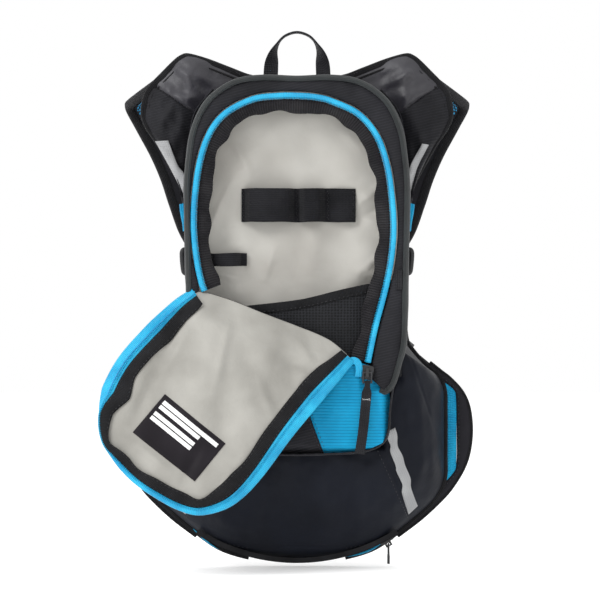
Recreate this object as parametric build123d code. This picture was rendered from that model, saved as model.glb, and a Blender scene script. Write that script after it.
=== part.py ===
from build123d import *
import math
import os

# Hydration pack, millimetres. Heights rise from the bottom of the lower body and depths run forward,
# towards -Y, from the front face of the back board. The harness lies behind the board, at negative depths.
# Every piece is moved down by hook_height when it is written, so the origin is where the grab loop hangs.

# Whole pack
pack_height = 450
hook_height = pack_height + 42
yoke_half_width = 144
waist_half_width = 93
hip_half_width = 137
base_radius = 175
lower_top = 250

# Layers, as depths
board_thickness = 3
back_mesh_thickness = 1.8
pad_thickness = 10
layer_gap = 0.2
yoke_thickness = 5
sleeve_depth = 36
fabric = 1.6
compartment_depth = 36
lower_bulge = 54
bulge_slope = 40

# Front compartment
compartment_half_width = 101
compartment_foot_half_width = 84
compartment_drop = 4
compartment_bottom = 100
piping = 6

# Main zip
zip_half_width = 88
zip_drop = 21
zip_side_height = pack_height - 144
zip_foot = (64, 176)
tape_width = 6.5
tape_gap = 2.4
tape_thickness = 1.2
slider_clearance = 0.5
slider_length = 13
flange_width = 11
seam_setback = 6.5

# Flap
hinge_left = (-84, 250)
hinge_slope = 20.6
flap_rest = 158
flap_edge_gap = 3
flap_corner_cut = 14
lining_thickness = 1.2
binding_width = 11
label_size = (70, 44)

# Inside the compartment
elastic_thickness = 1.4
tool_strap_width = 31
tool_strap_height = pack_height - 121
small_strap_width = 12
small_strap_height = lower_top + 29
mesh_pocket_top = lower_top - 10
mesh_pocket_depth = 24
pocket_binding = 8

# Reservoir
bladder_half_width = 78
bladder_height = pack_height - 120
bladder_thickness = 18
bladder_clearance = 3
cap_radius = 33
cap_height = 3.4
spigot_radius = 3.25
spigot_length = 14
button_travel = 1.5

# Harness
strap_thickness = 6
strap_reach = 85
shoulder_bend = 34
webbing_width = 20
webbing_thickness = 1.6
gate_half_width = 152
gate_back = 10
buckle_length = 36
buckle_height = 34
buckle_thickness = 12
buckle_gap = 20
arm_clearance = 0.6

# Grab loop
loop_webbing = 13
loop_thickness = 2.4
loop_half_width = 25

# Lower details
fin_half_width = 163
fin_stripe_width = 11
fin_thickness = 5
base_slider_angle = 28
running_gap = 0.5

plane_size = 2000  # larger than the pack, for cutting outlines

board_front = 0
board_back = -board_thickness
mesh_back = board_back - layer_gap - back_mesh_thickness
sleeve_front = sleeve_depth + layer_gap + fabric
lining_front = sleeve_front + layer_gap + fabric
border_back = sleeve_front + compartment_depth
border_front = border_back + 2
tape_back = border_front + layer_gap
tape_front = tape_back + tape_thickness
hinge_depth = border_back + 1

os.makedirs("parts", exist_ok=True)


def outline(corners):
    """A face on the front plane from corners given as x, height and rounding radius."""
    points = [(x, height) for x, height, radius in corners]
    radii = [radius for x, height, radius in corners]
    return make_face(FilletPolyline(*points, radius=radii, close=True))


def symmetric(half):
    """An outline from the corners of its right half, listed from the top down."""
    left = [(-x, height, radius) for x, height, radius in reversed(half)]
    return outline(half + left)


def slab(face, near, far):
    """The face drawn on the front plane, made solid between two depths."""
    return extrude(Plane.XZ.offset(near) * face, far - near)


def block(x_span, depth_span, height_span):
    """An upright box between two values on each direction."""
    middle = [(low + high) / 2 for low, high in (x_span, depth_span, height_span)]
    sizes = [abs(high - low) for low, high in (x_span, depth_span, height_span)]
    return Pos(middle[0], -middle[1], middle[2]) * Box(*sizes)


def half_space(point, direction):
    """A large block lying to the left of a line on the front plane, for cutting outlines."""
    turn = math.degrees(math.atan2(direction[1], direction[0]))
    return Pos(*point) * Rot(0, 0, turn) * Pos(0, plane_size / 2) * Rectangle(plane_size, plane_size)


def mirrored(shape):
    """The same piece on the other side of the pack."""
    return mirror(shape, about=Plane.YZ)


def save(name, *shapes):
    """Writes a node, moved so that the bearing point of the grab loop is the origin."""
    solids = [solid for shape in shapes for solid in shape.solids()]
    export_step(Pos(0, 0, -hook_height) * Compound(children=solids), f"parts/{name}.step")


def save_pair(name, shape):
    """Writes a right-hand piece and its mirror image as two solids of one node."""
    save(name, shape, mirrored(shape))


def save_sides(name, shape):
    """Writes a right-hand piece and its mirror image as a node each, for pieces that move apart."""
    save(f"{name}_right", shape)
    save(f"{name}_left", mirrored(shape))


# Outlines
def board_outline(inset=0):
    top = pack_height
    return symmetric([
        (40, top - inset, 20),
        (62, top + 9 - inset, 20),
        (92, top + 16 - inset, 30),
        (112 - inset, top + 14 - inset, 14),
        (yoke_half_width - inset, top - 20, 18),
        (yoke_half_width - 16 - inset, top - 62, 40),
        (yoke_half_width - 40 - inset, top - 114, 60),
        (waist_half_width - inset, lower_top, 60),
        (waist_half_width + 8 - inset, lower_top - 46, 30),
        (hip_half_width - inset, lower_top - 88, 25),
        (hip_half_width - inset, 74, 40),
        (90 - inset, 32 + inset, 30),
        (44, 9 + inset, 70),
    ])


def compartment_outline(inset=0):
    top = pack_height - compartment_drop - inset
    wide = compartment_half_width - inset
    foot = compartment_foot_half_width - inset
    return symmetric([
        (wide - 47, top, 30),
        (wide - 11, top - 28, 35),
        (wide, top - 100, 60),
        (wide, lower_top - 46, 60),
        (foot, lower_top - 92, 30),
        (foot, compartment_bottom + inset, 20),
    ])


def zip_outline(inset=0):
    """The loop of the main zip's centre line, closed below the hinge."""
    top = pack_height - zip_drop - inset
    wide = zip_half_width - inset
    side = zip_side_height
    return outline([
        (38 - inset, top, 40),
        (wide - 18, top - 25, 35),
        (wide, side, 80),
        (zip_foot[0] - inset, zip_foot[1], 0),
        (-wide + 12, lower_top - 14, 0),
        (-wide - 1, side + 4, 50),
        (-wide + 10, top - 35, 35),
        (-50 + inset, top, 35),
    ])


hinge_direction = (math.cos(math.radians(hinge_slope)), -math.sin(math.radians(hinge_slope)))
zip_run = (zip_half_width - zip_foot[0], zip_side_height - zip_foot[1])
zip_run_length = math.hypot(*zip_run)
zip_direction = (zip_run[0] / zip_run_length, zip_run[1] / zip_run_length)


def above_hinge(distance=0):
    """Everything further above the hinge line than the distance."""
    point = (hinge_left[0] + distance * math.sin(math.radians(hinge_slope)),
             hinge_left[1] + distance * math.cos(math.radians(hinge_slope)))
    return half_space(point, hinge_direction)


def below_hinge(distance=0):
    """Everything further below the hinge line than the distance."""
    point = (hinge_left[0] - distance * math.sin(math.radians(hinge_slope)),
             hinge_left[1] - distance * math.cos(math.radians(hinge_slope)))
    return half_space(point, (-hinge_direction[0], -hinge_direction[1]))


# Back board, its mesh and pads
save("back_board", slab(board_outline(), board_back, board_front))
save("back_mesh", slab(board_outline(4), mesh_back, board_back - layer_gap))
pad_back = mesh_back - layer_gap - pad_thickness
pad_top = pack_height - 25
upper_pad = outline([
    (10, lower_top, 10),
    (waist_half_width - 15, lower_top, 18),
    (waist_half_width - 1, pack_height - 120, 40),
    (100, pad_top, 24),
    (10, pad_top, 12),
])
lower_pad = outline([
    (10, compartment_bottom, 12),
    (90, compartment_bottom, 30),
    (84, lower_top - 12, 20),
    (10, lower_top - 12, 10),
])
for name, face in (("back_pads_upper", upper_pad), ("back_pads_lower", lower_pad)):
    save_pair(name, slab(face, pad_back, mesh_back - layer_gap))
lumbar = symmetric([(70, 88, 12), (58, 34, 20)])
save("lumbar_pad", slab(lumbar, pad_back, mesh_back - layer_gap))

# Yoke: satin above the shoulder seam, ripstop below it, bound along the outer edge
yoke_back = layer_gap
yoke_front = yoke_back + yoke_thickness
yoke_face = board_outline() - compartment_outline(-1.5) - Pos(0, lower_top - 250) * Rectangle(600, 500)
right_yoke = yoke_face & half_space((0, 0), (0, -1))
shoulder_seam = half_space((91, pack_height - 35.5), (40, 27.5))
save_pair("yoke_shoulders", slab(right_yoke & shoulder_seam, yoke_back, yoke_front))
save_pair("yoke_sides", slab(right_yoke - shoulder_seam, yoke_back, yoke_front))
edge_band = (board_outline() - board_outline(6)) & Pos(140, pack_height - 55) * Rectangle(80, 130)
save_pair("yoke_bindings", slab(edge_band, yoke_front + layer_gap, yoke_front + 1.8))
strip_top = pack_height - 64
strip = outline([
    (125, strip_top, 3),
    (116, strip_top + 2, 3),
    (97, strip_top - 30, 12),
    (96, strip_top - 53, 3),
    (104, strip_top - 55, 3),
    (108, strip_top - 33, 12),
])
save_pair("yoke_reflective_strips", slab(strip, yoke_front + 2, yoke_front + 2.6))

# Grab loop: a band of webbing that stands on the board's top edge
loop_rise = hook_height + loop_thickness - pack_height
outer_arch = outline([
    (loop_half_width + 5, pack_height, 0),
    (loop_half_width - 2, pack_height + loop_rise, 20),
    (-loop_half_width + 2, pack_height + loop_rise, 20),
    (-loop_half_width - 5, pack_height, 0),
])
inner_arch = outline([
    (loop_half_width + 5 - loop_thickness, pack_height - 1, 0),
    (loop_half_width - 2 - loop_thickness, hook_height, 20 - loop_thickness),
    (-loop_half_width + 2 + loop_thickness, hook_height, 20 - loop_thickness),
    (-loop_half_width - 5 + loop_thickness, pack_height - 1, 0),
])
loop_middle = (board_back + board_front) / 2
loop_span = (loop_middle - loop_webbing / 2, loop_middle + loop_webbing / 2)
save("grab_loop", slab(outer_arch - inner_arch, *loop_span))

# Reservoir sleeve: an open-topped pocket between the board and the front compartment
sleeve_bottom = compartment_bottom - 10
sleeve_top = pack_height - 36
sleeve_half_width = bladder_half_width + bladder_clearance
sleeve_outer = symmetric([
    (sleeve_half_width + fabric, sleeve_top, 0),
    (sleeve_half_width + fabric, sleeve_bottom, 22),
])
sleeve_inner = symmetric([
    (sleeve_half_width, sleeve_top + 1, 0),
    (sleeve_half_width, sleeve_bottom + fabric, 20),
])
save("sleeve_wall", slab(sleeve_outer - sleeve_inner, layer_gap, sleeve_depth))
save("sleeve_front", slab(sleeve_outer, sleeve_depth + layer_gap, sleeve_front))
hanger_height = pack_height - 16
hanger = block((-14, 14), (layer_gap, layer_gap + 2), (hanger_height - 8, hanger_height))
hanger_lip = block((-9, 9), (layer_gap, bladder_clearance + 2), (hanger_height, hanger_height + 3))
save("reservoir_hanger", hanger + hanger_lip)

# Reservoir
bladder_bottom = sleeve_bottom + fabric + 6
bladder_back = yoke_front + bladder_clearance - 1
bladder_front = bladder_back + bladder_thickness
bladder_face = symmetric([
    (bladder_half_width, bladder_bottom + bladder_height, 22),
    (bladder_half_width, bladder_bottom, 18),
])
save("reservoir_bladder", slab(bladder_face, bladder_back, bladder_front))
cap_centre = bladder_bottom + bladder_height - 62


def disc(radius, centre, near, far):
    """A disc or boss that faces the front."""
    return slab(Pos(*centre) * Circle(radius), near, far)


collar = disc(cap_radius - 4, (0, cap_centre), bladder_front, bladder_front + 2.4)
save("reservoir_collar", collar)
cap_back = bladder_front + 2.4 + 0.1
cap_plate = disc(cap_radius, (0, cap_centre), cap_back, cap_back + cap_height)
finger_notches = [
    disc(5, (cap_radius * math.cos(a), cap_centre + cap_radius * math.sin(a)), cap_back - 1, cap_back + 6)
    for a in (math.radians(60 * k) for k in range(6))
]
save("reservoir_cap", cap_plate - finger_notches)
port_centre = (48, bladder_bottom + 30)
port_half_height = 9
port = disc(port_half_height - 0.2, port_centre, bladder_front, bladder_front + 2)
spigot_block = block((port_centre[0] - 6, port_centre[0] + 6), (bladder_front + 2, bladder_front + 7.2),
                     (port_centre[1] - port_half_height, port_centre[1] + port_half_height))
spigot_middle = bladder_front + 2 + spigot_radius + 0.2
spigot_place = Pos(port_centre[0], -spigot_middle, port_centre[1] + port_half_height + spigot_length / 2)
spigot = spigot_place * Cylinder(spigot_radius, spigot_length)
button_hole = block((port_centre[0] - 7, port_centre[0] - 1.5), (bladder_front + 2.6, bladder_front + 6.6),
                    (port_centre[1] - 5, port_centre[1] + 5))
save("reservoir_outlet", port + (spigot_block - button_hole) + spigot)
button = block((port_centre[0] - 8.5, port_centre[0] - 2 - button_travel),
               (bladder_front + 2.9, bladder_front + 6.3),
               (port_centre[1] - 4.7, port_centre[1] + 4.7))
save("release_button", button)

# Front compartment
gusset = compartment_outline() - compartment_outline(fabric)
save("main_gusset", slab(gusset, sleeve_front + layer_gap, border_back - layer_gap))
save("compartment_lining", slab(compartment_outline(fabric + 0.4), sleeve_front + layer_gap, lining_front))
piping_ring = compartment_outline(-1) - compartment_outline(piping - 1.8)
save("front_piping", slab(piping_ring, border_front + layer_gap, border_front + 4))
front_face = compartment_outline() - zip_outline(-seam_setback)
save("front_border", slab(front_face & above_hinge(-6), border_back, border_front))
tape_ring = zip_outline(-tape_gap / 2 - tape_width) - zip_outline(-tape_gap / 2)
tape_foot = Pos(zip_foot[0] + 21, zip_foot[1] + 10) * Rectangle(40, 40)
save("main_zip_tape", slab(tape_ring & (above_hinge(-2) + tape_foot), tape_back, tape_front))
flange_back = border_back - 4
flange_ring = (zip_outline(-seam_setback) - zip_outline(flange_width)) & above_hinge(8)
save("zip_flange", slab(flange_ring & compartment_outline(fabric + 0.6), flange_back, flange_back + 1.4))

# Lower front, below the hinge: black beside the centre seam, blue ripstop to its right
lower_front = compartment_outline(fabric + 0.2) & below_hinge(6)
centre_seam = half_space((10, 141), (15, -41))
lower_front_span = (border_back - 2.2, border_back - 0.2)
save("lower_front_blue", slab(lower_front & centre_seam, *lower_front_span))
save("lower_front_black", slab(lower_front - centre_seam, *lower_front_span))


# Flap, drawn closed and then turned down about its hinge
def flap_outline(inset=0):
    """The flap's edge in its closed place, along the zip's centre line and cut back at the right."""
    top = pack_height - zip_drop - tape_gap / 2 - inset
    wide = zip_half_width - tape_gap / 2 - inset
    return outline([
        (38 - inset, top, 40),
        (wide - 20, top - 25, 35),
        (wide - flap_corner_cut / 2, zip_side_height, 80),
        (zip_foot[0] - flap_corner_cut - inset, zip_foot[1], 0),
        (-wide + 12, lower_top - 14, 0),
        (-wide - 1, zip_side_height + 4, 50),
        (-wide + 10, top - 35, 35),
        (-50 + inset, top, 35),
    ])


def opened(shape):
    """The shape turned from its closed place to the flap's rest."""
    hinge = Axis((hinge_left[0], -hinge_depth, hinge_left[1]), (hinge_direction[0], 0, hinge_direction[1]))
    return shape.rotate(hinge, flap_rest)


flap_side = above_hinge(flap_edge_gap)
panel_inset = seam_setback - tape_gap / 2
lining_span = (border_back - layer_gap - lining_thickness, border_back - layer_gap)
binding_span = (lining_span[0] - 0.8, lining_span[0] - layer_gap)
save("flap_panel", opened(slab(flap_outline(panel_inset) & flap_side, border_back, border_front)))
flap_tape = (flap_outline() - flap_outline(tape_width)) & flap_side
save("flap_zip_tape", opened(slab(flap_tape, tape_back, tape_front)))
save("flap_lining", opened(slab(flap_outline(panel_inset) & flap_side, *lining_span)))
flap_binding = (flap_outline(panel_inset) - flap_outline(panel_inset + binding_width)) & flap_side
save("flap_binding", opened(slab(flap_binding, *binding_span)))
label = Pos(-22, pack_height - 92) * Rot(0, 0, 2) * Rectangle(*label_size)
save("flap_label", opened(slab(label, *binding_span)))

# Inside the compartment: elastic loops and a mesh pocket on the lining
strap_back = lining_front + layer_gap


def elastic(span, loops, height, width):
    """A band of elastic sewn to the lining, with loops standing off it, each two ends and a rise."""
    low, high = height - width / 2, height + width / 2
    band = block(span, (strap_back, strap_back + elastic_thickness), (low, high))
    for left, right, rise in loops:
        band -= block((left, right), (strap_back - 1, strap_back + 3), (low - 1, high + 1))
        outside = block((left, right), (strap_back, strap_back + rise), (low, high))
        inside = block((left + elastic_thickness, right - elastic_thickness),
                       (strap_back - 1, strap_back + rise - elastic_thickness), (low - 1, high + 1))
        band += outside - inside
    return band


tool_loops = ((-47, -3, 13), (3, 25, 15))
save("tool_strap", elastic((-50, 54), tool_loops, tool_strap_height, tool_strap_width))
small_loops = ((-79, -52, 20),)
save("small_strap", elastic((-83, -46), small_loops, small_strap_height, small_strap_width))
pocket_face = compartment_outline(fabric + 0.4)
pocket_front = lining_front + mesh_pocket_depth
below_pocket_top = Pos(0, mesh_pocket_top - 250) * Rectangle(600, 500)
pocket_strip = Pos(0, mesh_pocket_top - pocket_binding / 2) * Rectangle(600, pocket_binding)
save("mesh_pocket", slab(pocket_face & below_pocket_top, pocket_front, pocket_front + 1))
pocket_binding_span = (pocket_front + 1 + layer_gap, pocket_front + 2.4)
save("mesh_pocket_binding", slab(pocket_face & pocket_strip, *pocket_binding_span))


# Zip sliders and pulls
def bar(radius, start, end):
    """A round bar between two points given as x, depth and height."""
    first, last = (Vector(x, -depth, height) for x, depth, height in (start, end))
    return extrude(Plane(first, z_dir=last - first) * Circle(radius), (last - first).length)


wire = 0.9
eye = wire + running_gap
link_half_width = 3.7
link_drop = 9
lean = math.degrees(math.atan2(*zip_direction))


def on_zip(face):
    """A face drawn about the slider's middle, with its length along the zip."""
    return Pos(*zip_foot) * Rot(0, 0, -lean) * face


slider_plate = on_zip(RectangleRounded(11, slider_length, 2.5))
slider_back_span = (tape_back - slider_clearance - 1.4, tape_back - slider_clearance)
slider_front_span = (tape_front + slider_clearance, tape_front + slider_clearance + 1.4)
slider_post = on_zip(Pos(0, slider_length / 2 - 2.5) * Rectangle(tape_gap - 0.8, 4))
bridge_depth = slider_front_span[1] + 2.3
bridge = block((zip_foot[0] - 1.2, zip_foot[0] + 1.2), (slider_front_span[1], bridge_depth + eye + 1),
               (zip_foot[1] - 4, zip_foot[1] + 4))
bridge_pin = [(zip_foot[0] + reach, bridge_depth, zip_foot[1]) for reach in (-5, 5)]
bridge_hole = bar(eye, *bridge_pin)
save("main_slider", slab(slider_plate, *slider_back_span) + slab(slider_plate, *slider_front_span)
     + slab(slider_post, slider_back_span[1], slider_front_span[0]) + (bridge - bridge_hole))


def wire_link(centre, drop):
    """A rectangular wire link hanging from a pin through the centre, along x."""
    x, depth, height = centre
    left, right = x - link_half_width, x + link_half_width
    pieces = [bar(wire, (left - wire, depth, level), (right + wire, depth, level))
              for level in (height, height - drop)]
    pieces += [bar(wire, (side, depth, height), (side, depth, height - drop))
               for side in (left, right)]
    return pieces[0] + pieces[1:]


def webbing_tab(centre, width, length):
    """A webbing tab that hangs from a bar through the centre, along x."""
    x, depth, height = centre
    neck_half = link_half_width - wire - 0.4
    neck = block((x - neck_half, x + neck_half), (depth - 2.3, depth + 2.3), (height - 3.5, height + 2.4))
    tab = block((x - width / 2, x + width / 2), (depth - 1.1, depth + 1.1), (height - length, height - 3.5))
    return neck + tab - bar(eye, (x - 5, depth, height), (x + 5, depth, height))


save("main_pull_link", wire_link((zip_foot[0], bridge_depth, zip_foot[1]), link_drop))
save("main_pull_tab", webbing_tab((zip_foot[0], bridge_depth, zip_foot[1] - link_drop), 9.5, 62))


# Lower body: a lofted shell, cut into sewn panels
def lower_section(share, inset, edge):
    """Outline of the lower body at a share of its depth, from 0 at the board to 1 at the front."""
    back = [(waist_half_width, lower_top, 0), (waist_half_width + 8, lower_top - 46, 30),
            (hip_half_width, lower_top - 88, 25), (hip_half_width, 74, 40), (90, 32, 30), (44, 9, 50)]
    front = [(waist_half_width - 2, lower_top, 0), (waist_half_width + 2, lower_top - 46, 30),
             (hip_half_width - bulge_slope, lower_top - 88, 25), (hip_half_width - bulge_slope, 90, 40),
             (70, 42, 30), (36, 28, 50)]
    corners = []
    for (bx, bz, radius), (fx, fz, same) in zip(back, front):
        x, height = bx + (fx - bx) * share, bz + (fz - bz) * share
        lowered = edge if height == lower_top else 0
        raised = inset if height < 100 else 0
        corners.append((x - inset, height + raised + lowered, radius))
    return symmetric(corners)


def lower_solid(inset, start, end, edge=0):
    """The lower body as a solid between two depths, smaller by the inset."""
    sections = [Plane.XZ.offset(depth) * lower_section(share, inset, edge)
                for share, depth in ((0, start), (1, end))]
    return loft(sections, ruled=True)


room = slab(compartment_outline(-0.6), sleeve_front, 200)
shell = lower_solid(0, layer_gap, lower_bulge) - lower_solid(2, -1, lower_bulge - 2, edge=1) - room
side_cut = slab(half_space((104, 40), (-32, 69)), -20, 200)
middle = side_cut & mirrored(side_cut)
bottom_cut = block((-200, 200), (-20, 200), (-20, 22))
save_pair("lower_sides", shell - side_cut)
save("lower_front", (shell & middle) - bottom_cut)
save("base_panel", shell & middle & bottom_cut)
skin = lower_solid(-1.8, layer_gap, lower_bulge + 1.8) - lower_solid(-1.2, -1, lower_bulge + 1.2, edge=1)
strip = outline([(88, 124, 2), (97, 120, 2), (100, 80, 12), (116, 48, 2), (108, 42, 2), (91, 76, 12)])
save_pair("lower_reflective_strips", skin & slab(strip, 10, 80))

# Hip fins: a blue stripe beside the body and a bound black edge
fin_inner = hip_half_width + 0.4
fin = outline([
    (fin_inner, 166, 0),
    (fin_half_width - 6, 150, 8),
    (fin_half_width, 122, 25),
    (fin_half_width - 8, 84, 20),
    (fin_inner, 64, 0),
])
stripe_area = Pos(fin_inner + fin_stripe_width / 2, 115) * Rectangle(fin_stripe_width, 200)
fin_span = (board_back + layer_gap, board_back + layer_gap + fin_thickness)
save_pair("fin_stripes", slab(fin & stripe_area, *fin_span))
save_pair("fin_edges", slab(fin - stripe_area, *fin_span))

# Small pieces on the compartment's sides
side_x = compartment_half_width + 0.3


def side_ring(x_size, depth_span, height_span):
    """A flat ring of webbing or plastic that stands out from the compartment's side."""
    outside = block((side_x, side_x + x_size), depth_span, height_span)
    inside = block((side_x + 1.2, side_x + x_size - 1.2), (depth_span[0] - 1, depth_span[1] + 1),
                   (height_span[0] + 1.6, height_span[1] - 1.6))
    return outside - inside


side_loop_top = pack_height - 120
save_pair("side_loops", side_ring(7.6, (46, 56), (side_loop_top - 24, side_loop_top)))
save_pair("side_buckles", side_ring(5.2, (44, 58), (lower_top + 22, lower_top + 40)))
tag_span = (border_front + layer_gap, border_front + 1)
save("side_tag", block((90, 95), tag_span, (lower_top + 1, lower_top + 20)))


# Base zip, an arc under the lower body, and its slider
def arc_band(inner, outer, from_angle, to_angle):
    """Part of a ring about the base's centre, between two angles from straight down."""
    reach = 2 * outer
    angles = [math.radians(a) for a in (from_angle, (from_angle + to_angle) / 2, to_angle)]
    spread = [(reach * math.sin(a), base_radius - reach * math.cos(a)) for a in angles]
    wedge = make_face(Polyline((0, base_radius), *spread, close=True))
    return Pos(0, base_radius) * (Circle(outer) - Circle(inner)) & wedge


zip_reach = base_slider_angle + 4
base_tape_back = 3
base_tape_half = 8
base_tape_middle = base_tape_back + base_tape_half
skin_band = arc_band(base_radius + 0.8, base_radius + 2, -zip_reach, zip_reach)
web_band = arc_band(base_radius - 2.8, base_radius + 0.8, -zip_reach, zip_reach)
base_tape = slab(skin_band, base_tape_back, base_tape_middle - tape_gap / 2)
base_tape += slab(web_band, base_tape_back, base_tape_back + 1.5)
front_base_tape = slab(skin_band, base_tape_middle + tape_gap / 2, base_tape_middle + base_tape_half)
front_base_tape += slab(web_band, base_tape_middle + base_tape_half - 1.5, base_tape_middle + base_tape_half)
save("base_zip_tape", base_tape, front_base_tape)


def base_plate(inner, outer, spread):
    """A piece of ring at the base slider's place."""
    return arc_band(base_radius + inner, base_radius + outer,
                    base_slider_angle - spread, base_slider_angle + spread)


plate_span = (base_tape_middle - 5.5, base_tape_middle + 5.5)
post_span = (base_tape_middle - 0.8, base_tape_middle + 0.8)
bridge_radius = base_radius + 6.2
bridge_x = bridge_radius * math.sin(math.radians(base_slider_angle))
bridge_z = base_radius - bridge_radius * math.cos(math.radians(base_slider_angle))
base_slider = slab(base_plate(-1.1, 0.3, 2.1), *plate_span) + slab(base_plate(2.5, 3.9, 2.1), *plate_span)
base_slider += slab(base_plate(0.2, 2.6, 0.6), *post_span) + slab(base_plate(3.8, 8.4, 1), *post_span)
base_slider -= bar(eye, *[(bridge_x, base_tape_middle + reach, bridge_z) for reach in (-5, 5)])
save("base_slider", base_slider)
turned = Pos(bridge_x, -base_tape_middle, bridge_z) * Rot(0, 0, 90)
base_link = wire_link((0, 0, 0), link_drop)
base_tab = block((-4.6, 4.6), (-1.1, 1.1), (-18, -link_drop - wire - 0.1))
save("base_pull", turned * (base_link + block((-2, 2), (-1, 1), (-18, -link_drop)) + base_tab))

# Harness: a gate on each side that turns about an upright line at the pack's edge
strap_near = 6
strap_far = strap_near + strap_reach
strap_top = pack_height + 20
chest_height = 260
inner_bend = shoulder_bend - strap_thickness
band_profile = Plane.YZ * outline([
    (strap_near, pack_height - 25, 0),
    (strap_near, strap_top, shoulder_bend),
    (strap_far, strap_top, shoulder_bend),
    (strap_far, chest_height, 0),
    (strap_far - strap_thickness, chest_height, 0),
    (strap_far - strap_thickness, strap_top - strap_thickness, inner_bend),
    (strap_near + strap_thickness, strap_top - strap_thickness, inner_bend),
    (strap_near + strap_thickness, pack_height - 25, 0),
])
strap_shape = outline([
    (96, strap_top + 4, 0),
    (108, strap_top, 8),
    (124, pack_height + 10, 30),
    (154, pack_height - 17, 12),
    (162, pack_height - 24, 4),
    (148, pack_height - 49, 60),
    (128, pack_height - 92, 80),
    (104, 290, 30),
    (66, chest_height - 2, 20),
    (16, chest_height - 2, 0),
    (16, chest_height + 36, 10),
    (58, chest_height + 44, 40),
    (88, 350, 60),
    (98, 420, 40),
])
shoulder_strap = extrude(band_profile, 170) & slab(strap_shape, -strap_far - 1, -strap_near + 1)
save_sides("shoulder_strap", shoulder_strap)
chest_depth = -(strap_far - strap_thickness / 2)
buckle_inner = buckle_gap / 2
buckle_outer = buckle_inner + buckle_length
buckle_middle = chest_height - 1 - buckle_height / 2
buckle_low, buckle_high = buckle_middle - buckle_height / 2, buckle_middle + buckle_height / 2
buckle_span = (chest_depth - buckle_thickness / 2, chest_depth + buckle_thickness / 2)
housing = block((buckle_inner, buckle_outer), buckle_span, (buckle_low, buckle_high))
socket = block((buckle_inner - 1, buckle_outer - 6), (chest_depth - 3.6, chest_depth + 3.6),
               (buckle_middle - 12, buckle_middle + 12))
save("buckle_socket", housing - socket)
plug_base = block((-buckle_outer, -buckle_outer + 13), buckle_span, (buckle_low, buckle_high))
tongue = block((-buckle_outer + 13, -buckle_inner), (chest_depth - 2.6, chest_depth + 2.6),
               (buckle_middle - 2.6, buckle_middle + 2.6))
save("buckle_plug", plug_base + tongue)
arm_pivot_x = -buckle_outer + 13 + 2 + arm_clearance
arm_pivot_rise = 7
for name, side in (("buckle_arm_upper", 1), ("buckle_arm_lower", -1)):
    pivot = Pos(arm_pivot_x, buckle_middle + side * arm_pivot_rise)
    arm = pivot * (Circle(2) + Pos(9, 0) * Rectangle(18, 3.2) + Pos(15, side * 1.6) * Rectangle(6, 3))
    save(name, slab(arm, chest_depth - 2.6, chest_depth + 2.6))

strap_start = Vector(buckle_outer + 5, -chest_depth, buckle_middle - 10)
strap_end = Vector(gate_half_width - 5, gate_back, 152)
strap_run = strap_end - strap_start
strap_normal = Vector(-strap_run.Y, strap_run.X, 0)
lower_plane = Plane(strap_start, x_dir=strap_run, z_dir=strap_normal)
middle_of_run = strap_run.length / 2
lower_strap = lower_plane * Pos(middle_of_run, 0, 0) * Box(strap_run.length, webbing_width, webbing_thickness)
save_sides("lower_strap", lower_strap)
adjuster_body = Box(14, webbing_width + 7, webbing_thickness + 4)
adjuster_slot = Box(16, webbing_width + 1.2, webbing_thickness + 1.2)
save_sides("strap_adjuster", lower_plane * Pos(middle_of_run, 0, 0) * (adjuster_body - adjuster_slot))
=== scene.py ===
import math
import bmesh
import bpy
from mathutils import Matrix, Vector
import numpy as np


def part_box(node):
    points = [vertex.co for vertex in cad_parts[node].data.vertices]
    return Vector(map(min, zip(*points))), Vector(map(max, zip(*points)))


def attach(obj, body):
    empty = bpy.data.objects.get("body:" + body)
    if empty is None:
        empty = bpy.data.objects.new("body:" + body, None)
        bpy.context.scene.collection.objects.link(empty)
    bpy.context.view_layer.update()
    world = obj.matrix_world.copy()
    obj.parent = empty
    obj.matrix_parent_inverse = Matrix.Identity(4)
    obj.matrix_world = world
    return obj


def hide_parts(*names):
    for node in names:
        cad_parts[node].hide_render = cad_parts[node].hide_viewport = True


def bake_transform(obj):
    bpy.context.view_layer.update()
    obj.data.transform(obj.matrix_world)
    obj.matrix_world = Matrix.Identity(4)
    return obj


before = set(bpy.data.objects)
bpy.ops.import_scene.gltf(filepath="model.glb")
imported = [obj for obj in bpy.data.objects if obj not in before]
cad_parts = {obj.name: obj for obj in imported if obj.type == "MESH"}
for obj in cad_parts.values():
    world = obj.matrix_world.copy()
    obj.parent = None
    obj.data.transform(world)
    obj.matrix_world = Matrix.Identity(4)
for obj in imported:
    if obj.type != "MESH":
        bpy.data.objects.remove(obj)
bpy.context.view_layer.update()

mm = 0.001
tau = 2 * math.pi

# Lengths below are in millimetres: x across, depth towards the front, height up from the pack's base.
boardRise = 9  # the back board starts this far above the base
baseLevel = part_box("back_board")[0].z / mm - boardRise
frontDepth = -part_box("front_border")[0].y / mm  # face of the front compartment
tapeDepth = -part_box("main_zip_tape")[0].y / mm
liningDepth = -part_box("compartment_lining")[0].y / mm
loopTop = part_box("grab_loop")[1].z / mm - baseLevel


# lines and surfaces
def linear(hexColour):
    # sRGB hex to linear colour
    parts = [int(hexColour[i:i + 2], 16) / 255 for i in (1, 3, 5)]
    return [c / 12.92 if c <= 0.04045 else ((c + 0.055) / 1.055) ** 2.4 for c in parts] + [1]


def evenly(line, count, closed=False):
    # the same line with its points spaced equally along its length
    if closed:
        line = np.vstack([line, line[:1]])
    steps = np.linalg.norm(np.diff(line, axis=0), axis=1)
    along = np.concatenate([[0], np.cumsum(steps)])
    wanted = np.linspace(0, along[-1], count + 1)[:-1] if closed else np.linspace(0, along[-1], count)
    return np.stack([np.interp(wanted, along, line[:, k]) for k in range(line.shape[1])], 1)


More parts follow.
